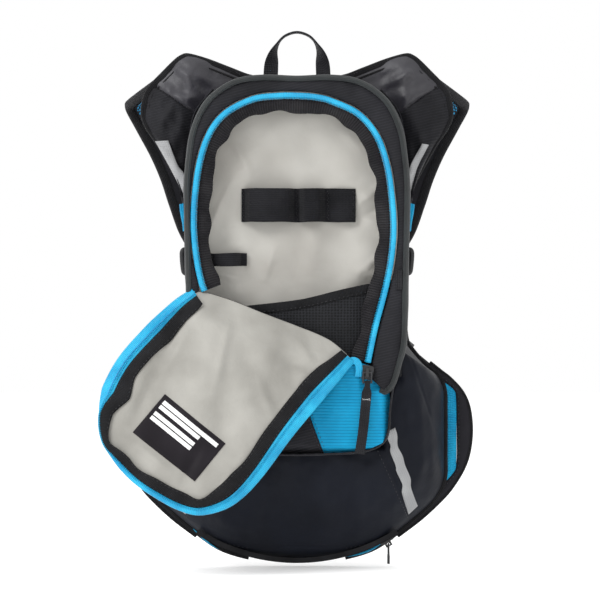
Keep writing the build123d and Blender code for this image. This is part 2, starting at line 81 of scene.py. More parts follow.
def through(points, count, closed=False, even=True):
    # Catmull-Rom: between two points, a cubic blend of the four nearest points
    p = np.array(points, float)
    n = len(p)
    if closed:
        t = np.linspace(0, n, count * 4, endpoint=False)
        i = t.astype(int)
        a, b, c, d = (p[(i + k) % n] for k in (-1, 0, 1, 2))
    else:
        t = np.linspace(0, n - 1, count * 4 if even else count)
        i = np.minimum(t.astype(int), n - 2)
        p = np.vstack([2 * p[0] - p[1], p, 2 * p[-1] - p[-2]])
        a, b, c, d = (p[i + k] for k in (0, 1, 2, 3))
    f = (t - i)[:, None]
    line = 0.5 * (2 * b + (c - a) * f + (2 * a - 5 * b + 4 * c - d) * f ** 2
                  + (3 * b - a - 3 * c + d) * f ** 3)
    return evenly(line, count, closed) if even else line


def flipX(points):
    # the other side of a symmetric line, taken backwards so that the two halves join end to end
    return [(-x, *rest) for x, *rest in reversed(points)]


def blendOf(a, b, t):
    # the value a share t of the way from a to b
    return a + (b - a) * t


def smooth(t):
    # 0 to 1 with level ends: t squared times (3 - 2t)
    t = np.clip(t, 0, 1)
    return t * t * (3 - 2 * t)


def folds(x, z, creases):
    # height of a sum of soft ridges; each runs between two
    # points with a bell-shaped section and tapered ends
    total = np.zeros_like(x)
    for x0, z0, x1, z1, width, height in creases:
        dx, dz = x1 - x0, z1 - z0
        long = dx * dx + dz * dz
        t = ((x - x0) * dx + (z - z0) * dz) / long
        away = ((x - x0) * dz - (z - z0) * dx) / math.sqrt(long)
        reach = np.clip(t, 0, 1)
        past = (t - reach) * math.sqrt(long)
        taper = 0.35 + 0.65 * np.sin(np.pi * np.clip(t, 0.02, 0.98))
        total += height * taper * np.exp(-(away ** 2 + past ** 2) / width ** 2)
    return total


def swell(x, z, size, seed):
    # smooth unevenness from -1 to 1: six waves of that size in directions drawn from the seed
    draw = np.random.default_rng(seed)
    total = np.zeros_like(x)
    for angle, phase, stretch in zip(draw.uniform(0, tau, 6), draw.uniform(0, tau, 6),
                                     draw.uniform(0.7, 1.5, 6)):
        total += np.sin((x * math.cos(angle) + z * math.sin(angle)) * tau / (size * stretch) + phase)
    return total / 4


def toFrame(points):
    # x, depth, height in millimetres to the frame's metres
    p = np.asarray(points, float)
    return np.stack([p[..., 0], -p[..., 1], p[..., 2] + baseLevel], -1) * mm


def grid(x, depth, z):
    # stacks three arrays of millimetres, each spread to the same rows and columns
    x, depth, z = np.broadcast_arrays(x, depth, z)
    return np.stack([x, depth, z], -1).astype(float)


def sheetMesh(name, points, material, outward=(0, 1, 0), wrap=False, thick=0, cap=False, plane=False):
    # a mesh over a grid of points, with a UV map in
    # millimetres: along its rows and columns, or x and height
    pole = wrap and not cap and np.ptp(points[-1], axis=0).max() < 3
    if pole:
        points = points.copy()
        points[-1] = points[-1].mean(0)
    rows, cols = points.shape[:2]
    wide = np.concatenate([points, points[:, :1]], 1) if wrap else points
    alongU = np.cumsum(np.linalg.norm(np.diff(wide, axis=1, prepend=wide[:, :1]), axis=2), axis=1)
    alongV = np.cumsum(np.linalg.norm(np.diff(wide, axis=0, prepend=wide[:1]), axis=2), axis=0)
    u = np.broadcast_to(alongU.mean(0), alongU.shape)
    index = np.arange(rows * cols).reshape(rows, cols)
    if wrap:
        index = np.concatenate([index, index[:, :1]], 1)
    corner = [(slice(0, -1), slice(0, -1)), (slice(0, -1), slice(1, None)),
              (slice(1, None), slice(1, None)), (slice(1, None), slice(0, -1))]
    quads = np.stack([index[c] for c in corner], -1).reshape(-1, 4)
    if plane:
        u, alongV = wide[..., 0], wide[..., 2]
    uvs = np.stack([np.stack([u[c], alongV[c]], -1) for c in corner], -2).reshape(-1, 4, 2)
    flat = points.reshape(-1, 3)
    p = flat[quads]
    normal = np.cross(p[:, 2] - p[:, 0], p[:, 3] - p[:, 1])
    if callable(outward):
        facing = (normal * outward(p.mean(1))).sum()
    else:
        facing = (normal * np.array(outward, float)).sum()
    if facing > 0:  # depth runs against the frame's Y, so the turn is the other way here
        quads, uvs = quads[:, ::-1], uvs[:, ::-1]
    mesh = bpy.data.meshes.new(name)
    mesh.vertices.add(len(flat))
    mesh.vertices.foreach_set("co", toFrame(flat).astype(np.float32).ravel())
    faces = [quads.ravel()]
    sizes = [4] * len(quads)
    if cap:
        for ring in (index[0], index[-1]):
            ends = ring[:-1] if wrap else ring
            first = facing > 0
            faces.append(ends[::-1] if (ring is index[0]) != first else ends)
            sizes.append(len(ends))
    loops = np.concatenate(faces).astype(np.int32)
    starts = np.concatenate([[0], np.cumsum(sizes)[:-1]]).astype(np.int32)
    mesh.loops.add(len(loops))
    mesh.loops.foreach_set("vertex_index", loops)
    mesh.polygons.add(len(sizes))
    mesh.polygons.foreach_set("loop_start", starts)
    layer = mesh.uv_layers.new(name="cloth")
    filled = np.zeros((len(loops), 2), np.float32)
    filled[:len(uvs) * 4] = uvs.reshape(-1, 2)
    layer.data.foreach_set("uv", filled.ravel())
    mesh.update(calc_edges=True)
    mesh.validate()
    mesh.polygons.foreach_set("use_smooth", np.ones(len(sizes), bool))
    mesh.materials.append(material)
    piece = bpy.data.objects.new(name, mesh)
    bpy.context.scene.collection.objects.link(piece)
    if thick:
        shell = piece.modifiers.new("thickness", "SOLIDIFY")
        shell.thickness = thick * mm
        shell.offset = -1
    if pole:
        closePole(piece)
    return piece


def closePole(piece):
    # merges the last ring, which lies in one point
    work = bmesh.new()
    work.from_mesh(piece.data)
    bmesh.ops.remove_doubles(work, verts=work.verts, dist=1e-7)
    work.to_mesh(piece.data)
    work.free()


def alongPath(path, profile, closed=False, up=(0, 1, 0)):
    # carries a section along a path; the section's first number runs sideways and its second along "up"
    path = np.asarray(path, float)
    up = np.broadcast_to(np.array(up, float), path.shape)
    if closed:
        tangent = np.roll(path, -1, 0) - np.roll(path, 1, 0)
    else:
        tangent = np.gradient(path, axis=0)
    tangent /= np.linalg.norm(tangent, axis=1)[:, None]
    side = np.cross(tangent, up)
    side /= np.linalg.norm(side, axis=1)[:, None]
    rise = np.cross(side, tangent)
    profile = np.asarray(profile, float)
    if profile.ndim == 2:
        profile = np.broadcast_to(profile, (len(path), *profile.shape))
    return path[:, None] + side[:, None] * profile[..., :1] + rise[:, None] * profile[..., 1:]


def swept(name, path, profile, material, closed=False, up=(0, 1, 0)):
    # a closed section carried along a path, made a solid
    rings = alongPath(path, profile, closed, up)
    if closed:
        rings = np.concatenate([rings, rings[:1]], 0)
    middle = np.asarray(path, float)

    def outward(centres):
        nearest = ((centres[:, None, :] - middle[None, ::max(1, len(middle) // 60)]) ** 2).sum(2).argmin(1)
        return centres - middle[::max(1, len(middle) // 60)][nearest]

    piece = sheetMesh(name, rings, material, outward=outward, wrap=True, cap=not closed)
    if closed:
        weld = piece.modifiers.new("join", "WELD")
        weld.merge_threshold = 0.00002
    return piece


def roundSection(wide, high, count=12, power=2.0):
    # superellipse: x and y are half the width and height times a signed power of cosine and sine
    a = np.arange(count) * tau / count
    c, s = np.cos(a), np.sin(a)
    bend = 2 / power
    return np.stack([wide / 2 * np.sign(c) * abs(c) ** bend, high / 2 * np.sign(s) * abs(s) ** bend], 1)


def finishPiece(piece, body, slot, *nodes):
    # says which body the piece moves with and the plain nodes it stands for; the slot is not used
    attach(piece, body)
    if nodes:
        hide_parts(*nodes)
    return piece


def areaOf(points):
    # area of a grid of points, in square metres
    a = points[:-1, :-1]
    b = points[1:, :-1]
    c = points[1:, 1:]
    d = points[:-1, 1:]
    return float(np.linalg.norm(np.cross(c - a, d - b), axis=2).sum() / 2) * mm * mm


# materials, each made by its own kind of cloth, tape, mesh or moulding
def addNode(tree, kind, inputs=None, **settings):
    # one node with its settings, and its inputs as values or as (node, output) links
    node = tree.nodes.new(kind)
    for key, value in settings.items():
        setattr(node, key, value)
    for key, value in (inputs or {}).items():
        if isinstance(value, tuple) and isinstance(value[0], bpy.types.Node):
            tree.links.new(value[0].outputs[value[1]], node.inputs[key])
        else:
            node.inputs[key].default_value = value
    return node


def newMaterial(name):
    # an empty node material with its tree and its shader
    material = bpy.data.materials.new(name)
    material.use_nodes = True
    tree = material.node_tree
    shader = tree.nodes["Principled BSDF"]
    return material, tree, shader


def wovenCloth(name, spec):
    # woven cloth: a plain weave of threads, optional heavier cords
    # every few millimetres, creases and soft colour change
    material, tree, shader = newMaterial(name)
    uv = addNode(tree, "ShaderNodeTexCoord")
    parts = addNode(tree, "ShaderNodeSeparateXYZ", {0: (uv, "UV")})
    turn = math.radians(spec.get("turn", 0))
    rays = []
    for cx, cy in ((math.cos(turn), math.sin(turn)), (-math.sin(turn), math.cos(turn))):
        first = addNode(tree, "ShaderNodeMath", {0: (parts, "X"), 1: cx}, operation="MULTIPLY")
        rays.append(addNode(tree, "ShaderNodeMath", {0: (parts, "Y"), 1: cy, 2: (first, 0)},
                            operation="MULTIPLY_ADD"))
    waves = []
    for ray in rays:
        phase = addNode(tree, "ShaderNodeMath", {0: (ray, 0), 1: tau / spec["thread"]},
                        operation="MULTIPLY")
        waves.append(addNode(tree, "ShaderNodeMath", {0: (phase, 0)}, operation="SINE"))
    weave = addNode(tree, "ShaderNodeMath", {0: (waves[0], 0), 1: (waves[1], 0)}, operation="MULTIPLY")
    height = addNode(tree, "ShaderNodeMath", {0: (weave, 0), 1: spec.get("weave", 0.35)},
                     operation="MULTIPLY")
    lines = None
    for ray, cord in zip(rays, spec.get("cords", (0, 0))):
        if cord:
            saw = addNode(tree, "ShaderNodeMath", {0: (ray, 0), 1: cord / 2}, operation="PINGPONG")
            line = addNode(tree, "ShaderNodeMapRange",
                           {0: (saw, 0), 1: 0.0, 2: cord * spec.get("cordWidth", 0.22), 3: 1.0, 4: 0.0},
                           interpolation_type="SMOOTHSTEP")
            height = addNode(tree, "ShaderNodeMath",
                             {0: (line, 0), 1: spec.get("cordRise", 1.0), 2: (height, 0)},
                             operation="MULTIPLY_ADD")
            lines = line if lines is None else addNode(tree, "ShaderNodeMath",
                                                       {0: (line, 0), 1: (lines, 0)}, operation="MAXIMUM")
    grain = addNode(tree, "ShaderNodeTexNoise",
                    {"Vector": (uv, "Object"), "Scale": 1000 / spec.get("crumple", 14), "Detail": 3.0,
                     "Roughness": 0.55})
    shade = addNode(tree, "ShaderNodeTexNoise",
                    {"Vector": (uv, "Object"), "Scale": 1000 / spec.get("patch", 45), "Detail": 2.0})
    light, dark = linear(spec["light"]), linear(spec["dark"])
    level = addNode(tree, "ShaderNodeMapRange", {0: (shade, 0), 1: 0.32, 2: 0.68})
    colour = addNode(tree, "ShaderNodeMix", {0: (level, 0), 6: dark, 7: light}, data_type="RGBA")
    tone = addNode(tree, "ShaderNodeMapRange",
                   {0: (weave, 0), 1: -1.0, 2: 1.0, 3: 1 - spec.get("fleck", 0.12),
                    4: 1 + spec.get("fleck", 0.12)})
    colour = addNode(tree, "ShaderNodeVectorMath", {0: (colour, 2), 3: (tone, 0)}, operation="SCALE")
    if lines is not None:
        drop = addNode(tree, "ShaderNodeMath", {0: (lines, 0), 1: spec.get("cordShade", -0.18), 2: 1.0},
                       operation="MULTIPLY_ADD")
        colour = addNode(tree, "ShaderNodeVectorMath", {0: (colour, 0), 3: (drop, 0)}, operation="SCALE")
    tree.links.new(colour.outputs[0], shader.inputs["Base Color"])
    rough = addNode(tree, "ShaderNodeMapRange",
                    {0: (grain, 0), 1: 0.3, 2: 0.7, 3: spec["rough"] - 0.07, 4: spec["rough"] + 0.07})
    tree.links.new(rough.outputs[0], shader.inputs["Roughness"])
    shader.inputs["Sheen Weight"].default_value = spec.get("sheen", 0.04)
    shader.inputs["Sheen Roughness"].default_value = 0.45
    shader.inputs["Coat Weight"].default_value = spec.get("coat", 0.0)
    shader.inputs["Coat Roughness"].default_value = 0.35
    shader.inputs["Specular IOR Level"].default_value = spec.get("gloss", 0.12)
    shader.inputs["IOR"].default_value = spec.get("ior", 1.53)
    crumple = addNode(tree, "ShaderNodeBump",
                      {"Strength": spec.get("crease", 0.3), "Distance": 0.0022, "Height": (grain, 0)})
    threads = addNode(tree, "ShaderNodeBump",
                      {"Strength": spec.get("relief", 0.5), "Distance": 0.00035, "Height": (height, 0),
                       "Normal": (crumple, 0)})
    tree.links.new(threads.outputs[0], shader.inputs["Normal"])
    return material


def ribbedBand(name, spec):
    # tape, webbing or zip cloth: ribs across the band, a fine twill between them and darker edges of wear
    material, tree, shader = newMaterial(name)
    uv = addNode(tree, "ShaderNodeTexCoord")
    parts = addNode(tree, "ShaderNodeSeparateXYZ", {0: (uv, "UV")})
    along = parts, spec.get("axis", "X")
    across = parts, "Y" if along[1] == "X" else "X"
    phase = addNode(tree, "ShaderNodeMath", {0: along, 1: tau / spec["rib"]}, operation="MULTIPLY")
    rib = addNode(tree, "ShaderNodeMath", {0: (phase, 0)}, operation="SINE")
    fine = addNode(tree, "ShaderNodeMath", {0: across, 1: tau / spec.get("yarn", 1.1)},
                   operation="MULTIPLY")
    yarn = addNode(tree, "ShaderNodeMath", {0: (fine, 0)}, operation="SINE")
    height = addNode(tree, "ShaderNodeMath", {0: (yarn, 0), 1: spec.get("yarnShare", 0.4), 2: (rib, 0)},
                     operation="MULTIPLY_ADD")
    wear = addNode(tree, "ShaderNodeTexNoise",
                   {"Vector": (uv, "Object"), "Scale": 1000 / 22, "Detail": 3.0})
    level = addNode(tree, "ShaderNodeMapRange", {0: (wear, 0), 1: 0.35, 2: 0.68})
    colour = addNode(tree, "ShaderNodeMix", {0: (level, 0), 6: linear(spec["dark"]),
                                             7: linear(spec["light"])}, data_type="RGBA")
    tone = addNode(tree, "ShaderNodeMapRange",
                   {0: (rib, 0), 1: -1.0, 2: 1.0, 3: 1 - spec.get("fleck", 0.15),
                    4: 1 + spec.get("fleck", 0.1)})
    colour = addNode(tree, "ShaderNodeVectorMath", {0: (colour, 2), 3: (tone, 0)}, operation="SCALE")
    tree.links.new(colour.outputs[0], shader.inputs["Base Color"])
    rough = addNode(tree, "ShaderNodeMapRange",
                    {0: (wear, 0), 1: 0.3, 2: 0.7, 3: spec["rough"] - 0.06, 4: spec["rough"] + 0.06})
    tree.links.new(rough.outputs[0], shader.inputs["Roughness"])
    shader.inputs["Sheen Weight"].default_value = spec.get("sheen", 0.04)
    shader.inputs["Sheen Roughness"].default_value = 0.4
    shader.inputs["Coat Weight"].default_value = spec.get("coat", 0.0)
    shader.inputs["Coat Roughness"].default_value = 0.3
    shader.inputs["Specular IOR Level"].default_value = spec.get("gloss", 0.12)
    bump = addNode(tree, "ShaderNodeBump", {"Strength": spec.get("relief", 0.6), "Distance": 0.0004,
                                            "Height": (height, 0)})
    tree.links.new(bump.outputs[0], shader.inputs["Normal"])
    return material


def openMesh(name, spec):
    # knitted mesh: rows of round holes between yarns, staggered row by row, drawn as pits of one colour in
    # the knit: the layer beneath, and where the pits are near black, painted shade in the holes
    material, tree, shader = newMaterial(name)
    uv = addNode(tree, "ShaderNodeTexCoord")
    scaled = addNode(tree, "ShaderNodeMapping",
                     {"Vector": (uv, "UV"), "Scale": (1 / spec["pitch"], 1 / (spec["pitch"] * 0.9), 1)})
    cells = addNode(tree, "ShaderNodeTexVoronoi",
                    {"Vector": (scaled, 0), "Scale": 1.0, "Randomness": spec.get("random", 0.12)})
    hole = addNode(tree, "ShaderNodeMapRange",
                   {0: (cells, "Distance"), 1: spec.get("hole", 0.24), 2: spec.get("hole", 0.24) + 0.14})
    tint = addNode(tree, "ShaderNodeTexNoise",
                   {"Vector": (uv, "Object"), "Scale": 1000 / 30, "Detail": 2.0})
    level = addNode(tree, "ShaderNodeMapRange", {0: (tint, 0), 1: 0.35, 2: 0.65})
    knit = addNode(tree, "ShaderNodeMix", {0: (level, 0), 6: linear(spec["dark"]),
                                           7: linear(spec["light"])}, data_type="RGBA")
    # the pit colour fills the holes: painted shade where it is near black, the blue layer's own colour in
    # the blue mesh
    colour = addNode(tree, "ShaderNodeMix", {0: (hole, 0), 6: linear(spec["pit"]), 7: (knit, 2)},
                     data_type="RGBA")
    tree.links.new(colour.outputs[2], shader.inputs["Base Color"])
    shader.inputs["Roughness"].default_value = spec.get("rough", 0.7)
    shader.inputs["Sheen Weight"].default_value = 0.04
    shader.inputs["Specular IOR Level"].default_value = 0.2
    bump = addNode(tree, "ShaderNodeBump", {"Strength": spec.get("relief", 0.8), "Distance": 0.0006,
                                            "Height": (hole, 0)})
    tree.links.new(bump.outputs[0], shader.inputs["Normal"])
    return material


def mouldedPlastic(name, spec):
    # injection-moulded plastic or enamelled metal: a fine moulded grain with scuffs that change the gloss
    material, tree, shader = newMaterial(name)
    where = addNode(tree, "ShaderNodeTexCoord")
    grain = addNode(tree, "ShaderNodeTexNoise",
                    {"Vector": (where, "Object"), "Scale": 1000 / spec.get("grain", 0.7), "Detail": 2.0})
    scuff = addNode(tree, "ShaderNodeTexNoise",
                    {"Vector": (where, "Object"), "Scale": 1000 / 9, "Detail": 4.0})
    level = addNode(tree, "ShaderNodeMapRange", {0: (scuff, 0), 1: 0.4, 2: 0.7})
    colour = addNode(tree, "ShaderNodeMix", {0: (level, 0), 6: linear(spec["dark"]),
                                             7: linear(spec["light"])}, data_type="RGBA")
    tree.links.new(colour.outputs[2], shader.inputs["Base Color"])
    rough = addNode(tree, "ShaderNodeMapRange",
                    {0: (scuff, 0), 1: 0.35, 2: 0.7, 3: spec["rough"] - 0.06, 4: spec["rough"] + 0.1})
    tree.links.new(rough.outputs[0], shader.inputs["Roughness"])
    shader.inputs["Metallic"].default_value = spec.get("metal", 0.0)
    shader.inputs["Coat Weight"].default_value = spec.get("coat", 0.0)
    shader.inputs["Transmission Weight"].default_value = spec.get("clear", 0.0)
    bump = addNode(tree, "ShaderNodeBump", {"Strength": 0.12, "Distance": 0.0002, "Height": (grain, 0)})
    tree.links.new(bump.outputs[0], shader.inputs["Normal"])
    return material


# thread spacings are in millimetres; real threads are 0.2 to
# 0.4 mm apart, drawn coarser here so that they show
cloth = {
    # smooth close weave: a soft shine runs along its folds
    "satin": wovenCloth("satinPolyesterWoven",
                        {"light": "#302f36", "dark": "#232228", "thread": 1.1, "weave": 0.25, "rough": 0.42,
                         "sheen": 0.12, "gloss": 0.5, "crumple": 20, "crease": 0.6}),
    # matt cloth crossed by a raised cord every few millimetres
    "ripstop": wovenCloth("ripstopNylonBlack",
                          {"light": "#212125", "dark": "#17171a", "thread": 1.2, "cords": (0, 2.5),
                           "cordRise": 1.6, "cordShade": 0.75, "rough": 0.55, "turn": 14, "crumple": 16,
                           "crease": 0.45}),
    # the same cords read as level darker lines on the blue
    "blueRipstop": wovenCloth("ripstopNylonBlue",
                              {"light": "#119ac9", "dark": "#0784b3", "thread": 1.2, "cords": (0, 2.8),
                               "cordRise": 1.8, "cordShade": -0.3, "rough": 0.5, "fleck": 0.06,
                               "crumple": 20, "crease": 0.25}),
    # coated cloth: near black with a blue cast and shallow creases
    "bodyNylon": wovenCloth("coatedNylonNavyBlack",
                            {"light": "#151821", "dark": "#0f1118", "thread": 1.0, "weave": 0.2,
                             "fleck": 0.08, "rough": 0.5, "sheen": 0.02, "gloss": 0.1, "crumple": 26,
                             "crease": 0.5, "patch": 70}),
    # plain matt cloth with a visible thread
    "finNylon": wovenCloth("wovenNylonBlack",
                           {"light": "#222126", "dark": "#17171b", "thread": 1.2, "weave": 0.5,
                            "rough": 0.6, "crumple": 16}),
    # thin light cloth: slow grey changes over its creases
    "lining": wovenCloth("liningPolyesterGrey",
                         {"light": "#b6b4ae", "dark": "#a29f99", "thread": 1.1, "weave": 0.3,
                          "fleck": 0.025, "rough": 0.62, "sheen": 0.1, "gloss": 0.25, "crumple": 22,
                          "crease": 0.6, "relief": 0.3, "patch": 60}),
    # the same cloth, a little warmer, made darker as painted shade where it hangs free
    "flapLiningShaded": wovenCloth("liningPolyesterWarmGreyPaintedShade",
                             {"light": "#a3a19b", "dark": "#8d8b85", "thread": 1.1, "weave": 0.3,
                              "fleck": 0.025, "rough": 0.6, "sheen": 0.1, "gloss": 0.25, "crumple": 20,
                              "crease": 0.7, "relief": 0.3, "patch": 42}),
    # bead-coated transfer: flat grey with a fine grid pressed in it
    "reflective": wovenCloth("retroreflectiveTransferGrey",
                             {"light": "#a9aaab", "dark": "#8d8e90", "thread": 1.0, "weave": 0.4,
                              "cords": (1.9, 1.9), "cordShade": -0.2, "rough": 0.42, "gloss": 0.6,
                              "crumple": 14}),
    # woven label: dark and even, with a slight gloss
    "satinLabel": wovenCloth("satinLabelBlack",
                             {"light": "#1f1b20", "dark": "#171418", "thread": 1.0, "weave": 0.2,
                              "rough": 0.45, "crumple": 30, "crease": 0.15}),
    # printed lines: clean white with a trace of the weave
    "labelInk": wovenCloth("printedInkWhite",
                           {"light": "#f4f4f3", "dark": "#e6e6e4", "thread": 1.0, "weave": 0.2,
                            "rough": 0.5, "crumple": 30, "crease": 0.1}),
}
tape = {
    # coated zip tape: bright, with fine ribs across it and a little gloss
    "blueZip": ribbedBand("zipTapePolyurethaneCoatedBlue",
                          {"light": "#27b2db", "dark": "#1293c2", "rib": 1.5, "yarn": 2.4,
                           "yarnShare": 0.2, "rough": 0.38, "coat": 0.05, "gloss": 0.3, "fleck": 0.12,
                           "relief": 0.5}),
    # bare woven tape: pale and matt
    "paleTape": ribbedBand("zipTapeWovenPaleBlue",
                           {"light": "#a6dbf3", "dark": "#7cc6ea", "rib": 1.3, "rough": 0.6,
                            "fleck": 0.08}),
    # folded binding: matt black with close ribs
    "blackBinding": ribbedBand("bindingTapeWovenBlack",
                               {"light": "#242426", "dark": "#18181a", "rib": 1.4, "yarn": 1.2,
                                "rough": 0.7, "relief": 0.8}),
    # grosgrain: wide ribs that catch light one by one
    "ribFlange": ribbedBand("grosgrainRibbedBlack",
                            {"light": "#2d2c2e", "dark": "#1d1c1f", "rib": 2.3, "yarn": 1.6, "rough": 0.62,
                             "fleck": 0.3, "relief": 0.9}),
    # knitted elastic: dull, with ribs along its length
    "elastic": ribbedBand("elasticKnittedBlack",
                          {"light": "#232326", "dark": "#18181b", "rib": 1.7, "yarn": 1.3,
                           "yarnShare": 0.7, "rough": 0.75, "fleck": 0.2, "axis": "Y"}),
    # woven webbing: heavy yarn lines along it
    "webbing": ribbedBand("webbingPolyesterBlack",
                          {"light": "#29292c", "dark": "#1b1b1e", "rib": 1.6, "yarn": 2.2,
                           "yarnShare": 0.8, "rough": 0.62, "fleck": 0.2}),
    # blue webbing: the same ribs on a clear blue
    "blueWebbing": ribbedBand("webbingPolyesterBlue",
                              {"light": "#1f9fca", "dark": "#0f83b0", "rib": 1.6, "yarn": 2.0,
                               "rough": 0.55, "fleck": 0.15}),
    # corded edge: dark grey, its round top a little lighter
    "piping": ribbedBand("pipingCordedGraphite",
                         {"light": "#272c2d", "dark": "#1b1f20", "rib": 1.6, "rough": 0.5, "fleck": 0.25,
                          "gloss": 0.5, "relief": 0.7}),
}
mesh = {
    # open knit with black holes, soft and deep: their near-black is painted shade
    "spacer": openMesh("spacerMeshKnittedBlack",
                       {"light": "#2a2a2e", "dark": "#1f1f22", "pit": "#060607", "pitch": 3.2}),
    # fine knit net: small dark holes in even rows, painted shade inside the pocket
    "pocket": openMesh("pocketMeshKnittedBlack",
                       {"light": "#232428", "dark": "#1b1c1f", "pit": "#0a0a0c", "pitch": 2.9,
                        "hole": 0.27, "relief": 0.6}),
    # black knit over a blue layer that shows in its holes
    "blueMesh": openMesh("spacerMeshKnittedBlackOverBlue",
                         {"light": "#17202a", "dark": "#111820", "pit": "#2f9bd0", "pitch": 2.9,
                          "hole": 0.26}),
}
hard = {
    # enamelled metal: smooth black with faint scuffs
    "blackZinc": mouldedPlastic("enamelledZincBlack",
                                {"light": "#27282b", "dark": "#101012", "rough": 0.45, "metal": 0.0,
                                 "coat": 0.06, "grain": 0.5}),
    # moulded plastic: dull black with a fine grain
    "blackAcetal": mouldedPlastic("acetalMouldedBlack",
                                  {"light": "#232427", "dark": "#17181a", "rough": 0.48}),
    # moulded blue plastic with a low gloss
    "bluePlastic": mouldedPlastic("polypropyleneMouldedBlue",
                                  {"light": "#2a9ad2", "dark": "#1c81b8", "rough": 0.35}),
    # clear film with a blue cast: smooth and partly see-through
    "film": mouldedPlastic("polyurethaneFilmClearBlue",
                           {"light": "#cfe4ee", "dark": "#b4d3e4", "rough": 0.22, "clear": 0.35,
                            "grain": 3}),
    # sheet plastic: plain and matt
    "foamBoard": mouldedPlastic("polyethyleneSheetBlack",
                                {"light": "#242427", "dark": "#1a1a1c", "rough": 0.7}),
    # pale thread: even and matt
    "thread": mouldedPlastic("polyesterThreadGrey",
                             {"light": "#d9d9d9", "dark": "#c4c4c4", "rough": 0.6, "grain": 0.4}),
    # black thread, a little lighter than the cloth so the stitches show
    "blackThread": mouldedPlastic("polyesterThreadBlack",
                                  {"light": "#3a3a3d", "dark": "#28282b", "rough": 0.6, "grain": 0.4}),
}
print("materials made:", len(bpy.data.materials))


# shared lines, as x and height
def leftAndRight(half):
    return flipX(half)[:-1] + half


def offsetLine(line, distance, closed=False):
    # moves a line sideways in the front plane: to the right-hand side of its direction
    if closed:
        t = np.roll(line, -1, 0) - np.roll(line, 1, 0)
    else:
        t = np.gradient(line, axis=0)
    t = t / np.linalg.norm(t, axis=1)[:, None]
    return line + np.stack([t[:, 1], -t[:, 0]], 1) * np.reshape(distance, (-1, 1))


def at(line, depth):
    depth = np.broadcast_to(depth, (len(line),))
    return np.stack([line[:, 0], depth, line[:, 1]], 1)


def across(a, b, rows):
    # rows of points from one line to another
    t = np.linspace(0, 1, rows)[:, None, None]
    return a[None] * (1 - t) + b[None] * t


def stitchRow(name, path, body, slot, material, length=2.4, gap=1.5, radius=0.3, up=(0, 1, 0)):
    # stitches along a line: spindles of three rings of four points
    path = np.asarray(path, float)
    total = np.linalg.norm(np.diff(path, axis=0), axis=1).sum()
    count = max(2, int(total / (length + gap)))
    fine = evenly(path, count * 2)
    a, b = fine[0::2], fine[1::2]
    b = a + (b - a) * 1.3 * length / (length + gap)
    middle = (a + b) / 2
    run = b - a
    run /= np.linalg.norm(run, axis=1)[:, None]
    up = np.broadcast_to(np.array(up, float), run.shape)
    side = np.cross(run, up)
    side /= np.linalg.norm(side, axis=1)[:, None]
    rings = []
    for centre, size, sink in ((a, 0.5, -0.25), (middle, 1.0, 0.15), (b, 0.5, -0.25)):
        for i in range(4):
            c, s = math.cos(i * tau / 4), math.sin(i * tau / 4)
            rings.append(centre + up * sink + (side * c + up * s) * radius * size)
    verts = np.stack(rings, 1).reshape(-1, 3)
    base = (np.arange(count) * 12)[:, None]
    quads = [[i + 4 * r, (i + 1) % 4 + 4 * r, (i + 1) % 4 + 4 * r + 4, i + 4 * r + 4] for r in (0, 1)
             for i in range(4)]
    quads += [[3, 2, 1, 0], [8, 9, 10, 11]]
    faces = (base[:, :, None] + np.array(quads)[None]).reshape(-1, 4)
    made = bpy.data.meshes.new(name)
    made.from_pydata(toFrame(verts).tolist(), [], faces.tolist())
    made.materials.append(material)
    piece = bpy.data.objects.new(name, made)
    bpy.context.scene.collection.objects.link(piece)
    finishPiece(piece, body, slot)
    return piece


def coilRow(name, path, body, material, radius=1.05, pitch=1.7, wireRadius=0.42, flip=1):
    # zip coil: a helix round the path, r(cos a, sin a) across it, swept by a thin round section
    path = np.asarray(path, float)
    total = np.linalg.norm(np.diff(path, axis=0), axis=1).sum()
    turns = int(total / pitch)
    line = evenly(path, turns * 8 + 1)
    tangent = np.gradient(line, axis=0)
    tangent /= np.linalg.norm(tangent, axis=1)[:, None]
    up = np.array((0, 1, 0.0))
    side = np.cross(tangent, np.broadcast_to(up, tangent.shape))
    side /= np.linalg.norm(side, axis=1)[:, None]
    rise = np.cross(side, tangent)
    a = (np.arange(len(line)) * tau / 8 * flip)[:, None]
    helix = line + (side * np.cos(a) * 1.25 + rise * np.sin(a) * 0.8) * radius
    away = side * np.cos(a) + rise * np.sin(a)
    ring = np.arange(5) * tau / 5
    tube = helix[:, None] + (away[:, None] * np.cos(ring)[None, :, None]
                             + tangent[:, None] * np.sin(ring)[None, :, None]) * wireRadius
    piece = sheetMesh(name, tube, material, outward=lambda c: np.zeros_like(c) + 1e-9, wrap=True)
    # the turn of the faces is settled from the helix itself
    fixNormals(piece)
    finishPiece(piece, body, "blue_zip")
    return piece


def fixNormals(piece):
    # turns every face outward
    work = bmesh.new()
    work.from_mesh(piece.data)
    bmesh.ops.remove_doubles(work, verts=work.verts, dist=1e-7)
    bmesh.ops.recalc_face_normals(work, faces=work.faces)
    work.to_mesh(piece.data)
    work.free()


def region(loop, centre, rows, inner=0.0):
    # rows of points shrinking from a closed line towards a centre
    t = np.linspace(1, inner, rows)[:, None, None]
    return np.array(centre, float) + (loop[None] - np.array(centre, float)) * t


